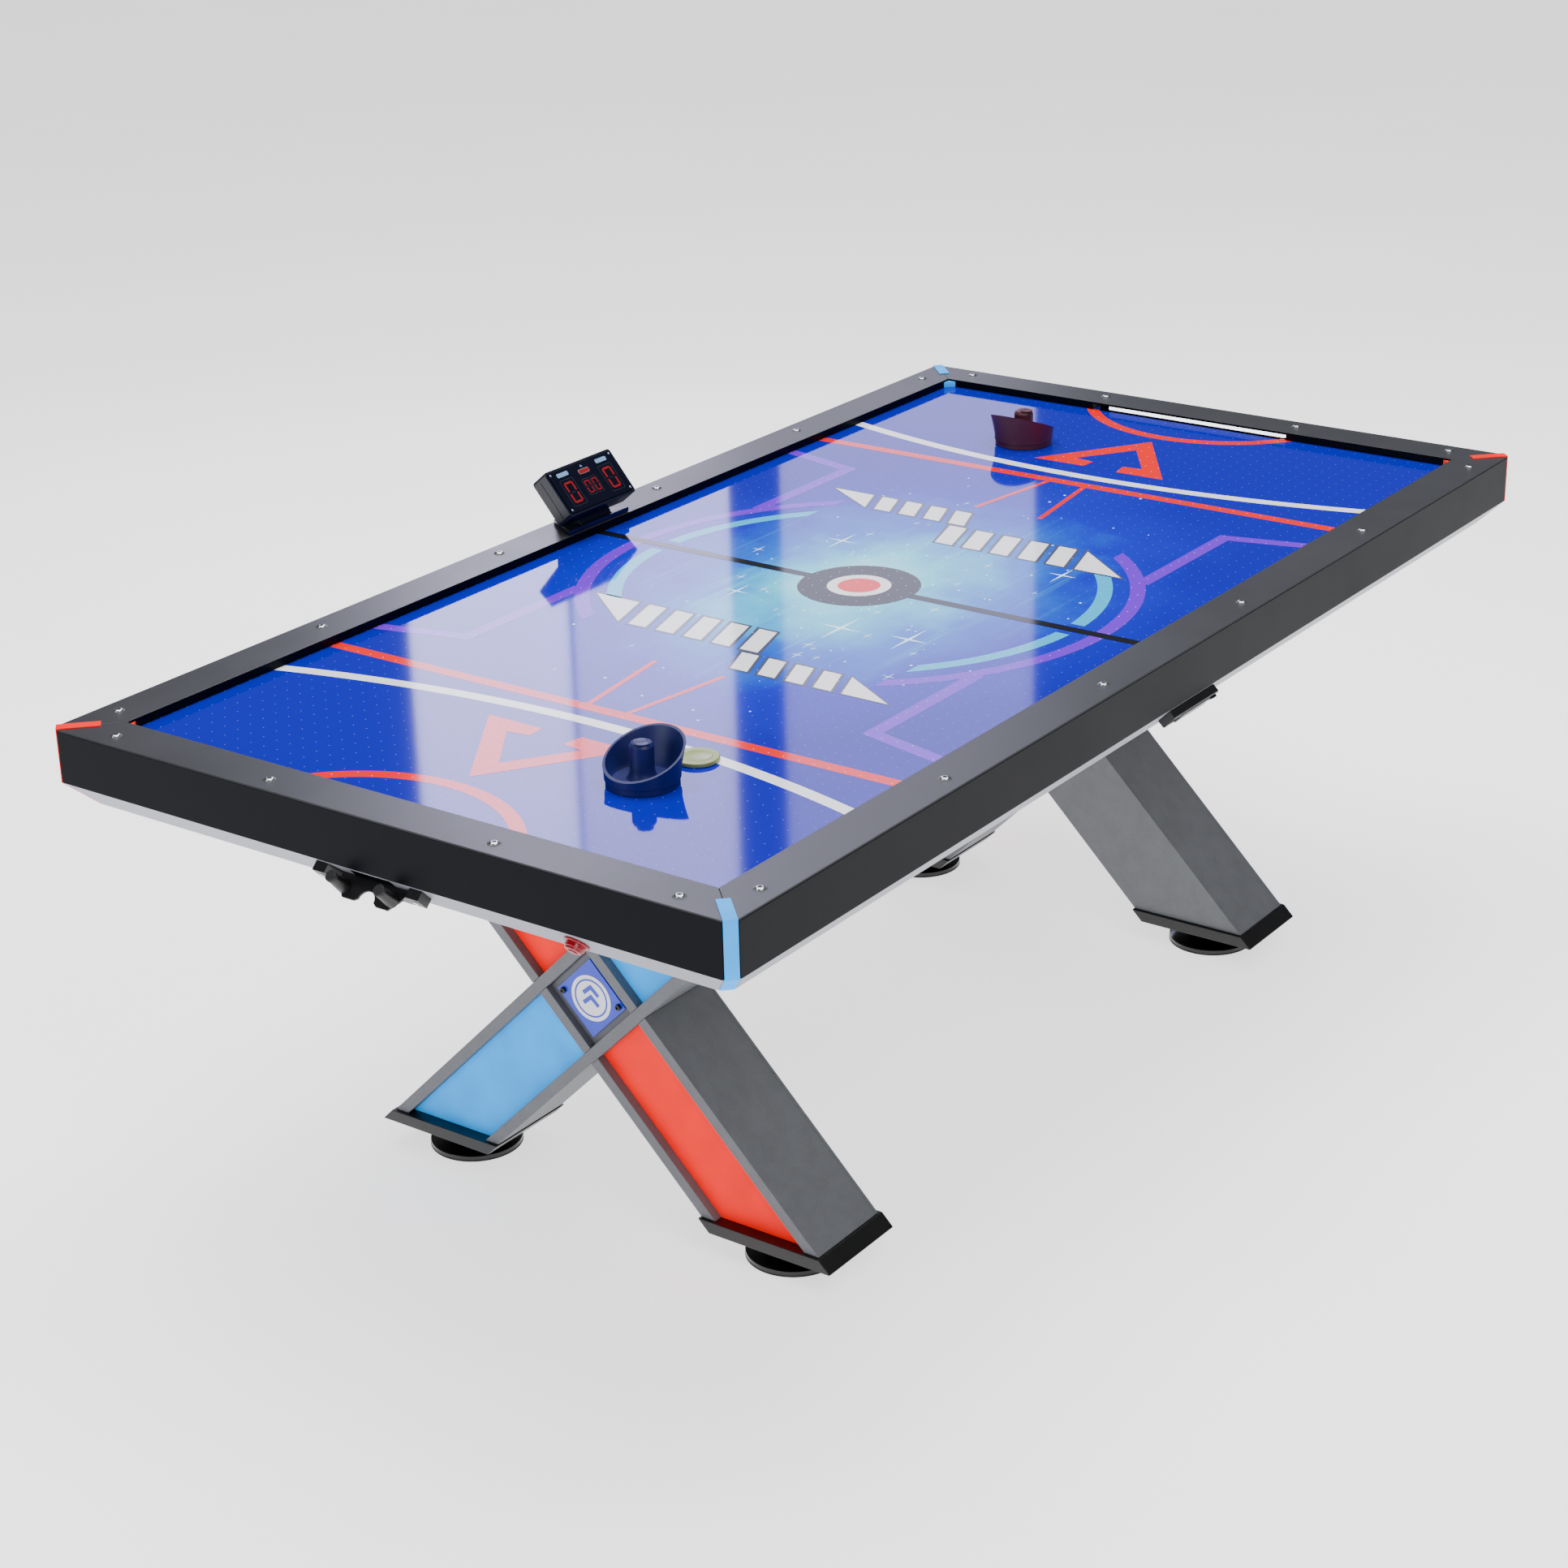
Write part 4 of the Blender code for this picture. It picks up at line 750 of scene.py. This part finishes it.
        # Each row's inner and outer x, its first and last y, and its number of bars.
        rows = ((-0.334, -0.247, -0.045, 0.220, 5), (-0.408, -0.344, -0.229, -0.030, 4))
        rim = 0.005
        for end, turn in (("near", 1), ("far", -1)):
            for row, (x0, x1, y0, y1, count) in enumerate(rows):
                pitch = (y1 - y0) / count
                wide, lean = pitch * 0.62, pitch * 0.5
                self.tail(f"{end}_{row + 1}", (x0, x1), y0 if row else y1, -1 if row else 1, pitch, turn)
                for i in range(count):
                    y = y0 + i * pitch
                    bar = [(x0, y), (x0, y + wide), (x1, y + wide + lean), (x1, y + lean)]
                    back = [
                        (x0 - rim, y - rim * 1.5), (x0 - rim, y + wide + rim * 0.6),
                        (x1 + rim, y + wide + lean + rim * 1.5), (x1 + rim, y + lean - rim * 0.6),
                    ]
                    name = f"{end}_{row + 1}_{i + 1}"
                    self.layer(f"print_bar_edge_{name}", [mirrored(back, turn, turn)], "print grey", 3)
                    self.layer(f"print_bar_{name}", [mirrored(bar, turn, turn)], "print white", 4)

    def tail(self, name, across, y, way, pitch, turn):
        """The pointed bar that closes a row, on its upper end where way is 1 and its lower where it is -1."""
        x0, x1 = across
        lean = pitch * 0.5
        if way > 0:
            spike = [(x0, y), (x1, y + pitch * 1.6 + lean), (x1, y + lean)]
        else:
            start = y - pitch * 0.38
            spike = [(x0, start), (x1, start + lean), (x0, start - pitch * 1.6)]
        middle = [sum(corner[axis] for corner in spike) / 3 for axis in (0, 1)]
        back = [tuple(m + 1.16 * (c - m) for c, m in zip(corner, middle)) for corner in spike]
        self.layer(f"print_tail_edge_{name}", [mirrored(back, turn, turn)], "print grey", 3)
        self.layer(f"print_tail_{name}", [mirrored(spike, turn, turn)], "print white", 4)

    def centre_mark(self):
        """A black disc, with a white and a red one on it."""
        self.layer("print_centre_ring", ring_loops(self.sizes.disc_radius), "print black", 5)
        self.layer("print_centre_white", ring_loops(0.051), "print white", 6)
        self.layer("print_centre_red", ring_loops(0.034), "print red", 7)

    def sparkles(self):
        """Five large four-pointed stars, with a scatter of small ones and of dots round the centre."""
        chance = random.Random(7)
        stars = [
            (0.173, 0.152, 0.030), (0.210, -0.246, 0.026), (-0.167, -0.204, 0.034), (-0.178, -0.088, 0.038),
            (-0.123, 0.150, 0.024),
        ]
        for _ in range(26):
            turn, reach = chance.uniform(0, 2 * math.pi), chance.uniform(0.12, 0.42)
            size = chance.uniform(5, 13) * MM
            stars.append((1.25 * reach * math.cos(turn), 0.8 * reach * math.sin(turn), size))
        loops = []
        for x, y, size in stars:
            points = []
            for i in range(8):
                # Round the star: a long point, the waist, a short point, the waist, and the same again.
                far = size * 0.11 if i % 2 else size if i % 4 else size * 1.5
                points.append((x + far * math.cos(i * math.pi / 4), y + far * math.sin(i * math.pi / 4)))
            loops.append(points)
        for _ in range(150):
            turn, reach = chance.uniform(0, 2 * math.pi), 0.11 + 0.42 * chance.random() ** 1.4
            size = chance.uniform(0.8, 2.6) * MM
            centre = (1.3 * reach * math.cos(turn), 0.75 * reach * math.sin(turn))
            loops.append(arc(centre, size, 0, 324, 9))
        # Overlapping outlines would cancel each other's fill, so each star and dot is filled by itself.
        high = FIELD_TOP + self.sizes.layer * FILLED
        pieces = [flat_shape([loop], FIELD_TOP, high) for loop in loops]
        # The stars and dots are ink; their glow is painted light.
        finish_piece(joined(pieces), "print_sparkles", "sparkle", smooth=0)

    def diffusers(self):
        """The opal light at the back of each goal slot."""
        half = 0.183
        low = (-HALF_LENGTH + 0.0380, -half, FIELD_TOP - 0.0060)
        high = (-HALF_LENGTH + 0.0460, half, RAIL_TOP - 0.0050)
        for end, turn in ENDS.items():
            finish_piece(cuboid(low, high, turn, 0.0012), f"goal_diffuser_{end}", "diffuser")


# ---------------------------------------------------------------- trays, button and control box
class HOCKEY_OT_rail_fittings(bpy.types.Operator):
    """Finish the puck trays, the start button and the control box"""

    bl_idname = "hockey.rail_fittings"
    bl_label = "Rail fittings"
    bl_options = {"REGISTER", "UNDO"}

    def execute(self, context):
        edge = context.scene.hockey_sizes.edge
        for end, turn in ENDS.items():
            tray = f"puck_tray_{end}"
            eased_copy(tray, f"{tray}_moulded", "black", edge * 0.6)
            dress(f"goal_box_{end}", "black")
            self.tray_details(end, chamfer_axes(turn))
        eased_copy("start_button_bezel", "start_button_bezel_moulded", "clear red", edge * 0.5)
        eased_copy("start_button", "start_button_moulded", "clear red", edge * 0.5, "start_button")
        self.button_details()
        self.control_details(edge)
        return {"FINISHED"}

    def tray_details(self, end, place):
        """A cap screw in each lug and a soft cap on each peg."""
        head = [(0.0042, 0), (0.0042, 0.0008), (0.0034, 0.0019), (0.0018, 0.0022), (0.0016, 0.0008)]
        screw = lathe(head, sides=32)
        cap = lathe([(0.0072, 0), (0.0084, 0.0008), (0.0084, 0.0038), (0.0070, 0.0048)], sides=40)
        up = Matrix.Rotation(math.radians(90), 4, "X")
        lug_x, peg_x = 0.0828, 0.0423
        for side, name in ((-1, "left"), (1, "right")):
            seat = place @ at(side * lug_x, 0.016, 0.0143)
            finish_piece(copy_at(screw, seat), f"tray_screw_{end}_{name}", "steel")
            top = place @ at(side * peg_x, -0.0115, 0.020) @ up
            finish_piece(copy_at(cap, top), f"tray_peg_cap_{end}_{name}", "rubber")
        bpy.data.objects.remove(screw)
        bpy.data.objects.remove(cap)

    def button_details(self):
        """A ring let into the plunger's cap, which moves with it."""
        low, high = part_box("start_button")
        centre = (low + high) / 2
        place = chamfer_axes(Matrix.Identity(4))
        spot = place.inverted() @ centre
        seat = place @ at(spot.x, spot.y, 0.0140)
        rings = [(0.0070, 0), (0.0070, 0.0003), (0.0062, 0.0006), (0.0050, 0.0003)]
        finish_piece(lathe(rings, seat, 48), "start_button_ring", "clear red", "start_button")

    def control_details(self, edge):
        """The control box and its switch, the plate on it with two screws, and the inlet's three pins."""
        eased_copy("control_box", "control_box_moulded", "black", edge * 0.5)
        eased_copy("rocker_switch", "rocker_switch_moulded", "black", edge * 0.5, "rocker_switch")
        dress("power_inlet", "black")
        place = chamfer_axes(Matrix.Rotation(math.pi / 2, 4, "Z"))
        place.translation = (0, -HALF_WIDTH, RAIL_TOP - CHAMFER_START)
        plate = cuboid((-0.040, 0.0052, 0.0140), (0.040, 0.0278, 0.0160), place, 0.0008)
        finish_piece(plate, "control_plate", "grey plate")
        row = 0.0165
        for name, x in (("left", -0.035), ("right", 0.035)):
            head = [(0.0026, 0), (0.0026, 0.0006), (0.0018, 0.0012)]
            finish_piece(lathe(head, place @ at(x, row, 0.0160), 24), f"control_screw_{name}", "steel")
        for i, shift in enumerate((-0.005, 0, 0.005)):
            low, high = (-0.0007, -0.002, -0.0092), (0.0007, 0.002, -0.0035)
            pin = cuboid(low, high, place @ at(0.054 + shift, row, 0.0140))
            finish_piece(pin, f"inlet_pin_{i + 1}", "steel")


# ---------------------------------------------------------------- scoreboard
class HOCKEY_OT_scoreboard(bpy.types.Operator):
    """Finish the scoreboard, with its outlined windows, digits, screws and ribs"""

    bl_idname = "hockey.scoreboard"
    bl_label = "Scoreboard"
    bl_options = {"REGISTER", "UNDO"}

    def execute(self, context):
        edge = context.scene.hockey_sizes.edge
        housing = "scoreboard_housing"
        eased_copy(housing, f"{housing}_moulded", "shell", 2.5 * edge)
        dress("scoreboard_face", "window")
        # The face's own axes: X along the rail, Y up the face from its lower edge, Z out of it.
        tilt = math.radians(49.6)
        up_face = Vector((0, math.cos(tilt), math.sin(tilt)))
        out = Vector((0, -math.sin(tilt), math.cos(tilt)))
        self.face = Matrix((X, up_face, out)).transposed().to_4x4()
        self.face.translation = (0, 0.5113, 0.8413)
        self.front = 0.0019
        self.windows()
        self.digits()
        self.screws()
        self.ribs()
        return {"FINISHED"}

    def windows(self):
        """Thin rounded outlines round each score and each figure of the clock, and the marks above them."""
        for name, x, y, wide, tall in (
            ("home", -0.050, 0.038, 0.033, 0.050), ("away", 0.050, 0.038, 0.033, 0.050),
            ("clock_tens", -0.0095, 0.037, 0.0175, 0.031), ("clock_units", 0.0095, 0.037, 0.0175, 0.031),
        ):
            loops = [rounded(x, y, wide, tall, 0.003), rounded(x, y, wide - 0.001, tall - 0.001, 0.0025)]
            self.print_on(f"score_window_{name}", loops, "ghost")
        self.print_on("score_clock_lamp_rim", [rounded(0, 0.0655, 0.026, 0.0085, 0.002)], "pale print")
        self.print_on("score_clock_lamp", [rounded(0, 0.0655, 0.0245, 0.007, 0.0015)], "segment", 0.0003)
        self.print_on("score_pointer", [[(-0.003, 0.0735), (0.003, 0.0735), (0, 0.0775)]], "blue print")
        for name, x in (("home", -0.050), ("away", 0.050)):
            self.print_on(f"score_mark_{name}", [rounded(x, 0.0725, 0.028, 0.0075, 0.002)], "blue print")

    def print_on(self, name, loops, finish, above=0.0):
        """A printed shape on the face, or on the print under it."""
        low = self.front + above
        finish_piece(flat_shape(loops, low, low + 0.0002, self.face), name, finish, smooth=0)

    def digits(self):
        """Zeroes of six lit segments; the seventh stays dark."""
        for name, x, y, wide, tall in (
            ("home", -0.050, 0.038, 0.0215, 0.0395), ("clock_tens", -0.0095, 0.037, 0.0115, 0.0235),
            ("clock_units", 0.0095, 0.037, 0.0115, 0.0235), ("away", 0.050, 0.038, 0.0215, 0.0395),
        ):
            thick = wide * 0.17
            half_w, half_t, gap = wide / 2, tall / 2, thick * 0.16
            # A bar stops short of its corners, and its inner edge is shorter than its outer one.
            short, slant = gap + thick * 0.2, thick * 0.5
            outer_end, inner_end = half_w - gap - thick * 0.35, half_w - thick - gap
            bars = []
            for side in (-1, 1):
                outer, inner = side * half_w, side * (half_w - thick)
                for low, high in ((short - half_t, -short), (short, half_t - short)):
                    bars.append([(outer, low), (outer, high), (inner, high - slant), (inner, low + slant)])
                outer, inner = side * half_t, side * (half_t - thick)
                bars.append([
                    (-outer_end, outer), (outer_end, outer), (inner_end, inner), (-inner_end, inner)
                ])
            tip, shoulder, rise = half_w - thick, half_w - 1.5 * thick, thick / 2
            middle = [
                (-tip, 0), (-shoulder, rise), (shoulder, rise),
                (tip, 0), (shoulder, -rise), (-shoulder, -rise),
            ]
            place = self.face @ at(x, y)
            shapes = [flat_shape([bar], self.front, self.front + 0.0004, place) for bar in bars]
            finish_piece(joined(shapes), f"score_digit_{name}", "segment", smooth=0)
            dark = flat_shape([middle], self.front, self.front + 0.0002, place)
            finish_piece(dark, f"score_digit_{name}_dark", "shell", smooth=0)

    def screws(self):
        """A small screw in each corner of the face."""
        head = [(0.0022, 0), (0.0022, 0.0005), (0.0016, 0.0011), (0.0008, 0.0012), (0.0006, 0.0005)]
        head = lathe(head, sides=24)
        half, low, high = 0.0765, 0.0095, 0.0770
        for i, (x, y) in enumerate(((-half, low), (half, low), (half, high), (-half, high))):
            finish_piece(copy_at(head, self.face @ at(x, y, self.front)), f"score_screw_{i + 1}", "steel")
        bpy.data.objects.remove(head)

    def ribs(self):
        """A seam where the housing's halves meet, and grip ribs along the front of its neck."""
        for name, x in (("left", -0.0863), ("right", 0.0863)):
            rib = cuboid((x - 0.0004, 0.008, -0.0175), (x + 0.0004, 0.0784, -0.0160), self.face, 0.0003)
            finish_piece(rib, f"score_seam_{name}", "black")
        for i in range(3):
            y, z = 0.5300 + 0.0025 * i, RAIL_TOP + 0.0080 + 0.0045 * i
            rib = cuboid((-0.0395, y - 0.0012, z), (0.0395, y + 0.0020, z + 0.0018), None, 0.0006)
            finish_piece(rib, f"score_neck_rib_{i + 1}", "shell")


# ---------------------------------------------------------------- blower
class HOCKEY_OT_blower(bpy.types.Operator):
    """Finish the blower and the board that it hangs under"""

    bl_idname = "hockey.blower"
    bl_label = "Blower"
    bl_options = {"REGISTER", "UNDO"}

    def execute(self, context):
        dress("blower_housing", "powder coat")
        eased_copy("blower_impeller", "blower_impeller_moulded", "black", 0.0003, "blower_impeller")
        dress("bottom_board", "particle board")
        low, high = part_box("blower_housing")
        # Eight bolts go up through the housing's flange.
        bolt = lathe([(0.0050, 0), (0.0050, -0.0028), (0.0044, -0.0034)], sides=6)
        along = 0.146
        spots = [(x, y) for x in (-along, 0, along) for y in (-along, 0, along) if x or y]
        for i, (x, y) in enumerate(spots):
            finish_piece(copy_at(bolt, at(x, y, high.z - 0.004)), f"blower_bolt_{i + 1}", "steel")
        bpy.data.objects.remove(bolt)
        # Four guard bars cross each intake, just under the housing's floor.
        half = 0.0009
        for i in range(4):
            turn = Matrix.Rotation(math.radians(90 * i), 4, "Z")
            for j, y in enumerate((-0.012, -0.004, 0.004, 0.012)):
                ends = (0.054, y - half, low.z - 0.0018), (0.096, y + half, low.z - 0.0002)
                finish_piece(cuboid(*ends, turn, 0.0004), f"blower_guard_{i + 1}_{j + 1}", "powder coat")
        return {"FINISHED"}


# ---------------------------------------------------------------- mallets and puck
class HOCKEY_OT_players(bpy.types.Operator):
    """Finish the mallets and the puck"""

    bl_idname = "hockey.players"
    bl_label = "Mallets and puck"
    bl_options = {"REGISTER", "UNDO"}

    def execute(self, context):
        for end, tone in (("near", "navy"), ("far", "maroon")):
            body = f"mallet_{end}"
            eased_copy(body, f"mallet_{end}_moulded", tone, 0.0009, body)
            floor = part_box(body)[0].z
            centre = self.axis(end)
            rings = [(0.0115, 0.0), (0.0115, 0.0006), (0.0100, 0.0009), (0.0088, 0.0004)]
            ring = lathe(rings, at(centre.x, centre.y, floor + 0.0615), 48)
            finish_piece(ring, f"mallet_{end}_knob_ring", tone, body)
        eased_copy("puck", "puck_moulded", "puck", 0.0006, "puck")
        low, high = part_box("puck")
        middle = (low + high) / 2
        rings = [(0.0225, 0), (0.0225, 0.0001), (0.0215, 0.0005), (0.0195, 0.0005), (0.0185, 0.0001)]
        finish_piece(lathe(rings, at(middle.x, middle.y, high.z), 64), "puck_ring", "puck", "puck")
        return {"FINISHED"}

    def axis(self, end):
        """A point on the mallet's axis: the middle of its round base."""
        points = [v.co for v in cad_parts[f"mallet_{end}"].data.vertices]
        floor = min(p.z for p in points)
        base = [p for p in points if p.z < floor + 0.0005]
        return sum(base, Vector()) / len(base)


# ---------------------------------------------------------------- legs
class HOCKEY_OT_legs(bpy.types.Operator):
    """Finish both X legs, with emblem discs and standoffs, and the feet under them"""

    bl_idname = "hockey.legs"
    bl_label = "Legs"
    bl_options = {"REGISTER", "UNDO"}

    def execute(self, context):
        edge = context.scene.hockey_sizes.edge
        for node in sorted(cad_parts):
            if "_leg_" not in node:
                continue
            if "board" in node or "box" in node or "back_panel" in node:
                eased_copy(node, node + "_finished", "concrete", edge)
            elif "emblem" in node:
                dress(node, "emblem")
            else:
                dress(node, "blue" if "blue" in node else "red")
        # The emblem plate's own axes lie along the leg's two beams.
        rise = Vector((0, 1, 1)).normalized()
        cross = Vector((0, -1, 1)).normalized()
        face = Matrix((rise, cross, X)).transposed().to_4x4()
        face.translation = (-0.71235, 0, 0.36)
        for end, turn in ENDS.items():
            self.emblem(end, turn @ face)
            self.feet(end, turn)
        return {"FINISHED"}

    def emblem(self, end, face):
        """A white disc on the plate with a blue ring and two arrowheads, and a standoff at each side."""
        over = Matrix.Rotation(math.pi, 4, "X")
        upright = face @ at(z=0.0080) @ Matrix.Rotation(math.radians(45), 4, "Z") @ over
        shapes = [
            (f"disc_{end}", "emblem white", ring_loops(0.0365), 0.0, 0.0005),
            (f"ring_{end}", "emblem", ring_loops(0.0305, 0.0278), 0.0006, 0.0008),
        ]
        for i, x in enumerate((-0.010, 0.006)):
            mark = ribbon([(x, -0.014), (x + 0.012, 0), (x, 0.014)], 0.0065)
            shapes.append((f"mark_{end}_{i + 1}", "emblem", [mark], 0.0006, 0.0008))
        for name, finish, loops, low, high in shapes:
            finish_piece(flat_shape(loops, low, high, upright), f"emblem_{name}", finish, smooth=0)
        rings = [(0.0048, 0), (0.0048, 0.0040), (0.0040, 0.0050), (0.0022, 0.0052), (0.0020, 0.0034)]
        for side, name in ((-1, "left"), (1, "right")):
            place = face @ at(side * 0.0365, -side * 0.0365, 0.0080) @ over
            finish_piece(lathe(rings, place, 32), f"emblem_standoff_{end}_{name}", "black")

    def feet(self, end, turn):
        """Both foot plates of a leg, and each levelling foot with its lock nut and rubber sole."""
        nut_rings = [(0.0140, 0.0300), (0.0140, 0.0385), (0.0130, 0.0392), (0.0082, 0.0392)]
        sole_rings = [(0.0716, 0.0002), (0.0731, 0.0010), (0.0731, 0.0032), (0.0728, 0.0038)]
        for side, name in ((1, "left"), (-1, "right")):
            plate, body = f"{end}_foot_plate_{name}", f"{end}_levelling_foot_{name}"
            eased_copy(plate, f"{plate}_painted", "painted foot", 0.0012)
            eased_copy(body, f"{body}_moulded", "gloss black", 0.0012, body)
            place = turn @ at(-0.63635, side * 0.3068)
            finish_piece(lathe(nut_rings, place, 6), f"{body}_nut", "steel", body)
            finish_piece(lathe(sole_rings, place, 96), f"{body}_sole", "rubber", body)


# ---------------------------------------------------------------- studio
# Where the camera stands; the bands of light are placed by their bearing from it.
CAMERA_PLACE = (-3.8111, -2.6296, 2.3770)


class HOCKEY_OT_studio(bpy.types.Operator):
    """Make the pale floor, the soft lights and the camera"""

    bl_idname = "hockey.studio"
    bl_label = "Studio"
    bl_options = {"REGISTER", "UNDO"}

    def execute(self, context):
        deselect()
        bpy.ops.mesh.primitive_plane_add(size=80)
        floor = context.object
        floor.name = floor.data.name = "studio_floor"
        # Matt painted floor that glows a little, so that the shadows on it stay soft and pale.
        material, tree, shader, point = new_material(
            "pale studio floor", Roughness=0.9, Emission_Strength=1.5
        )
        cloud = {"Vector": point, "Scale": 1 / 0.8, "Detail": 2.0, "Roughness": 0.55}
        cloud = add_node(tree, "TexNoise", cloud)
        tones = {0: cloud, 6: linear("#F4F4F5"), 7: linear("#FAFAFA")}
        tone = add_node(tree, "Mix", tones, 2, data_type="RGBA")
        feed(tree, shader, Base_Color=tone, Emission_Color=tone)
        floor.data.materials.append(material)

        world = bpy.data.worlds.new("studio")
        world.use_nodes = True
        sky = world.node_tree.nodes["Background"]
        sky.inputs["Color"].default_value = linear("#D5D9E2")
        sky.inputs["Strength"].default_value = 0.14
        context.scene.world = world

        middle = Vector((0, 0, 0.6))
        # Each softbox: its name, place, what it faces, its size in metres, its watts and its colour.
        self.softbox("key", (-2.5, -4.5, 5.0), middle, (3.5, 3.5), 200, "#FFFFFF")
        self.softbox("overhead", (0.5, 0.5, 5.5), middle, (6.0, 4.0), 470, "#FFFFFF")
        self.softbox("left fill", (-6.0, 1.5, 2.0), middle, (3.0, 2.5), 90, "#F2F5FF")
        # Tall boxes beyond the far corner stand in the playfield as pale bands.
        self.band("band left", 46.6, 49.7, 34)
        self.band("band middle", 49.8, 52.9, 22)
        self.band("band right", 53.9, 58.8, 16)
        self.camera(context)
        return {"FINISHED"}

    def band(self, name, start, end, power):
        """An upright box 9 m from the camera, between two bearings in degrees from +Y."""
        distance, low, height = 9.0, 1.3, 3.2
        bearing = math.radians((start + end) / 2)
        x = CAMERA_PLACE[0] + distance * math.sin(bearing)
        y = CAMERA_PLACE[1] + distance * math.cos(bearing)
        middle = low + height / 2
        width = distance * math.radians(end - start)
        target = Vector((CAMERA_PLACE[0], CAMERA_PLACE[1], middle))
        self.softbox(name, (x, y, middle), target, (width, height), power, "#E2E0FF")

    def softbox(self, name, place, target, size, power, hex_colour):
        """A rectangular light that faces its target."""
        light = bpy.data.lights.new(name, "AREA")
        light.shape = "RECTANGLE"
        light.size, light.size_y = size
        light.energy = power
        light.color = linear(hex_colour)[:3]
        box = bpy.data.objects.new(name, light)
        bpy.context.scene.collection.objects.link(box)
        box.location = place
        box.rotation_euler = (target - Vector(place)).to_track_quat("-Z", "Y").to_euler()

    def camera(self, context):
        """Above the near front corner, looking along the table."""
        azimuth, elevation, roll = math.radians(53.832), math.radians(22.551), math.radians(-1.444)
        level = math.cos(elevation)
        ahead = Vector((level * math.sin(azimuth), level * math.cos(azimuth), -math.sin(elevation)))
        right = ahead.cross(Z).normalized()
        up = right.cross(ahead)
        right, up = math.cos(roll) * right + math.sin(roll) * up, math.cos(roll) * up - math.sin(roll) * right
        data = bpy.data.cameras.new("camera")
        data.lens, data.sensor_width = 71.09, 36
        camera = bpy.data.objects.new("camera", data)
        camera.matrix_world = Matrix((right, up, -ahead)).transposed().to_4x4()
        camera.location = CAMERA_PLACE
        context.scene.collection.objects.link(camera)
        context.scene.camera = camera


# ---------------------------------------------------------------- add-on
class HOCKEY_PT_panel(bpy.types.Panel):
    """Sizes, colours and one button for each group of pieces"""

    bl_idname = "HOCKEY_PT_panel"
    bl_label = "Air hockey table"
    bl_space_type = "VIEW_3D"
    bl_region_type = "UI"
    bl_category = "Air Hockey"

    def draw(self, context):
        layout = self.layout
        for settings in (context.scene.hockey_sizes, context.scene.hockey_colours):
            box = layout.box()
            for name in settings.__annotations__:
                box.prop(settings, name)
        for step in STEPS:
            layout.operator(step.bl_idname)


STEPS = (
    HOCKEY_OT_rails,
    HOCKEY_OT_playfield,
    HOCKEY_OT_rail_fittings,
    HOCKEY_OT_scoreboard,
    HOCKEY_OT_blower,
    HOCKEY_OT_players,
    HOCKEY_OT_legs,
    HOCKEY_OT_studio,
)
CLASSES = (TableSizes, TableColours, *STEPS, HOCKEY_PT_panel)


def register():
    for kind in CLASSES:
        bpy.utils.register_class(kind)
    bpy.types.Scene.hockey_sizes = bpy.props.PointerProperty(type=TableSizes)
    bpy.types.Scene.hockey_colours = bpy.props.PointerProperty(type=TableColours)


def unregister():
    del bpy.types.Scene.hockey_colours
    del bpy.types.Scene.hockey_sizes
    for kind in reversed(CLASSES):
        bpy.utils.unregister_class(kind)


def main():
    register()
    FINISH.update(make_finishes())
    bpy.ops.hockey.rails()
    bpy.ops.hockey.playfield()
    bpy.ops.hockey.rail_fittings()
    bpy.ops.hockey.scoreboard()
    bpy.ops.hockey.blower()
    bpy.ops.hockey.players()
    bpy.ops.hockey.legs()
    bpy.ops.hockey.studio()


if __name__ == "__main__":
    main()
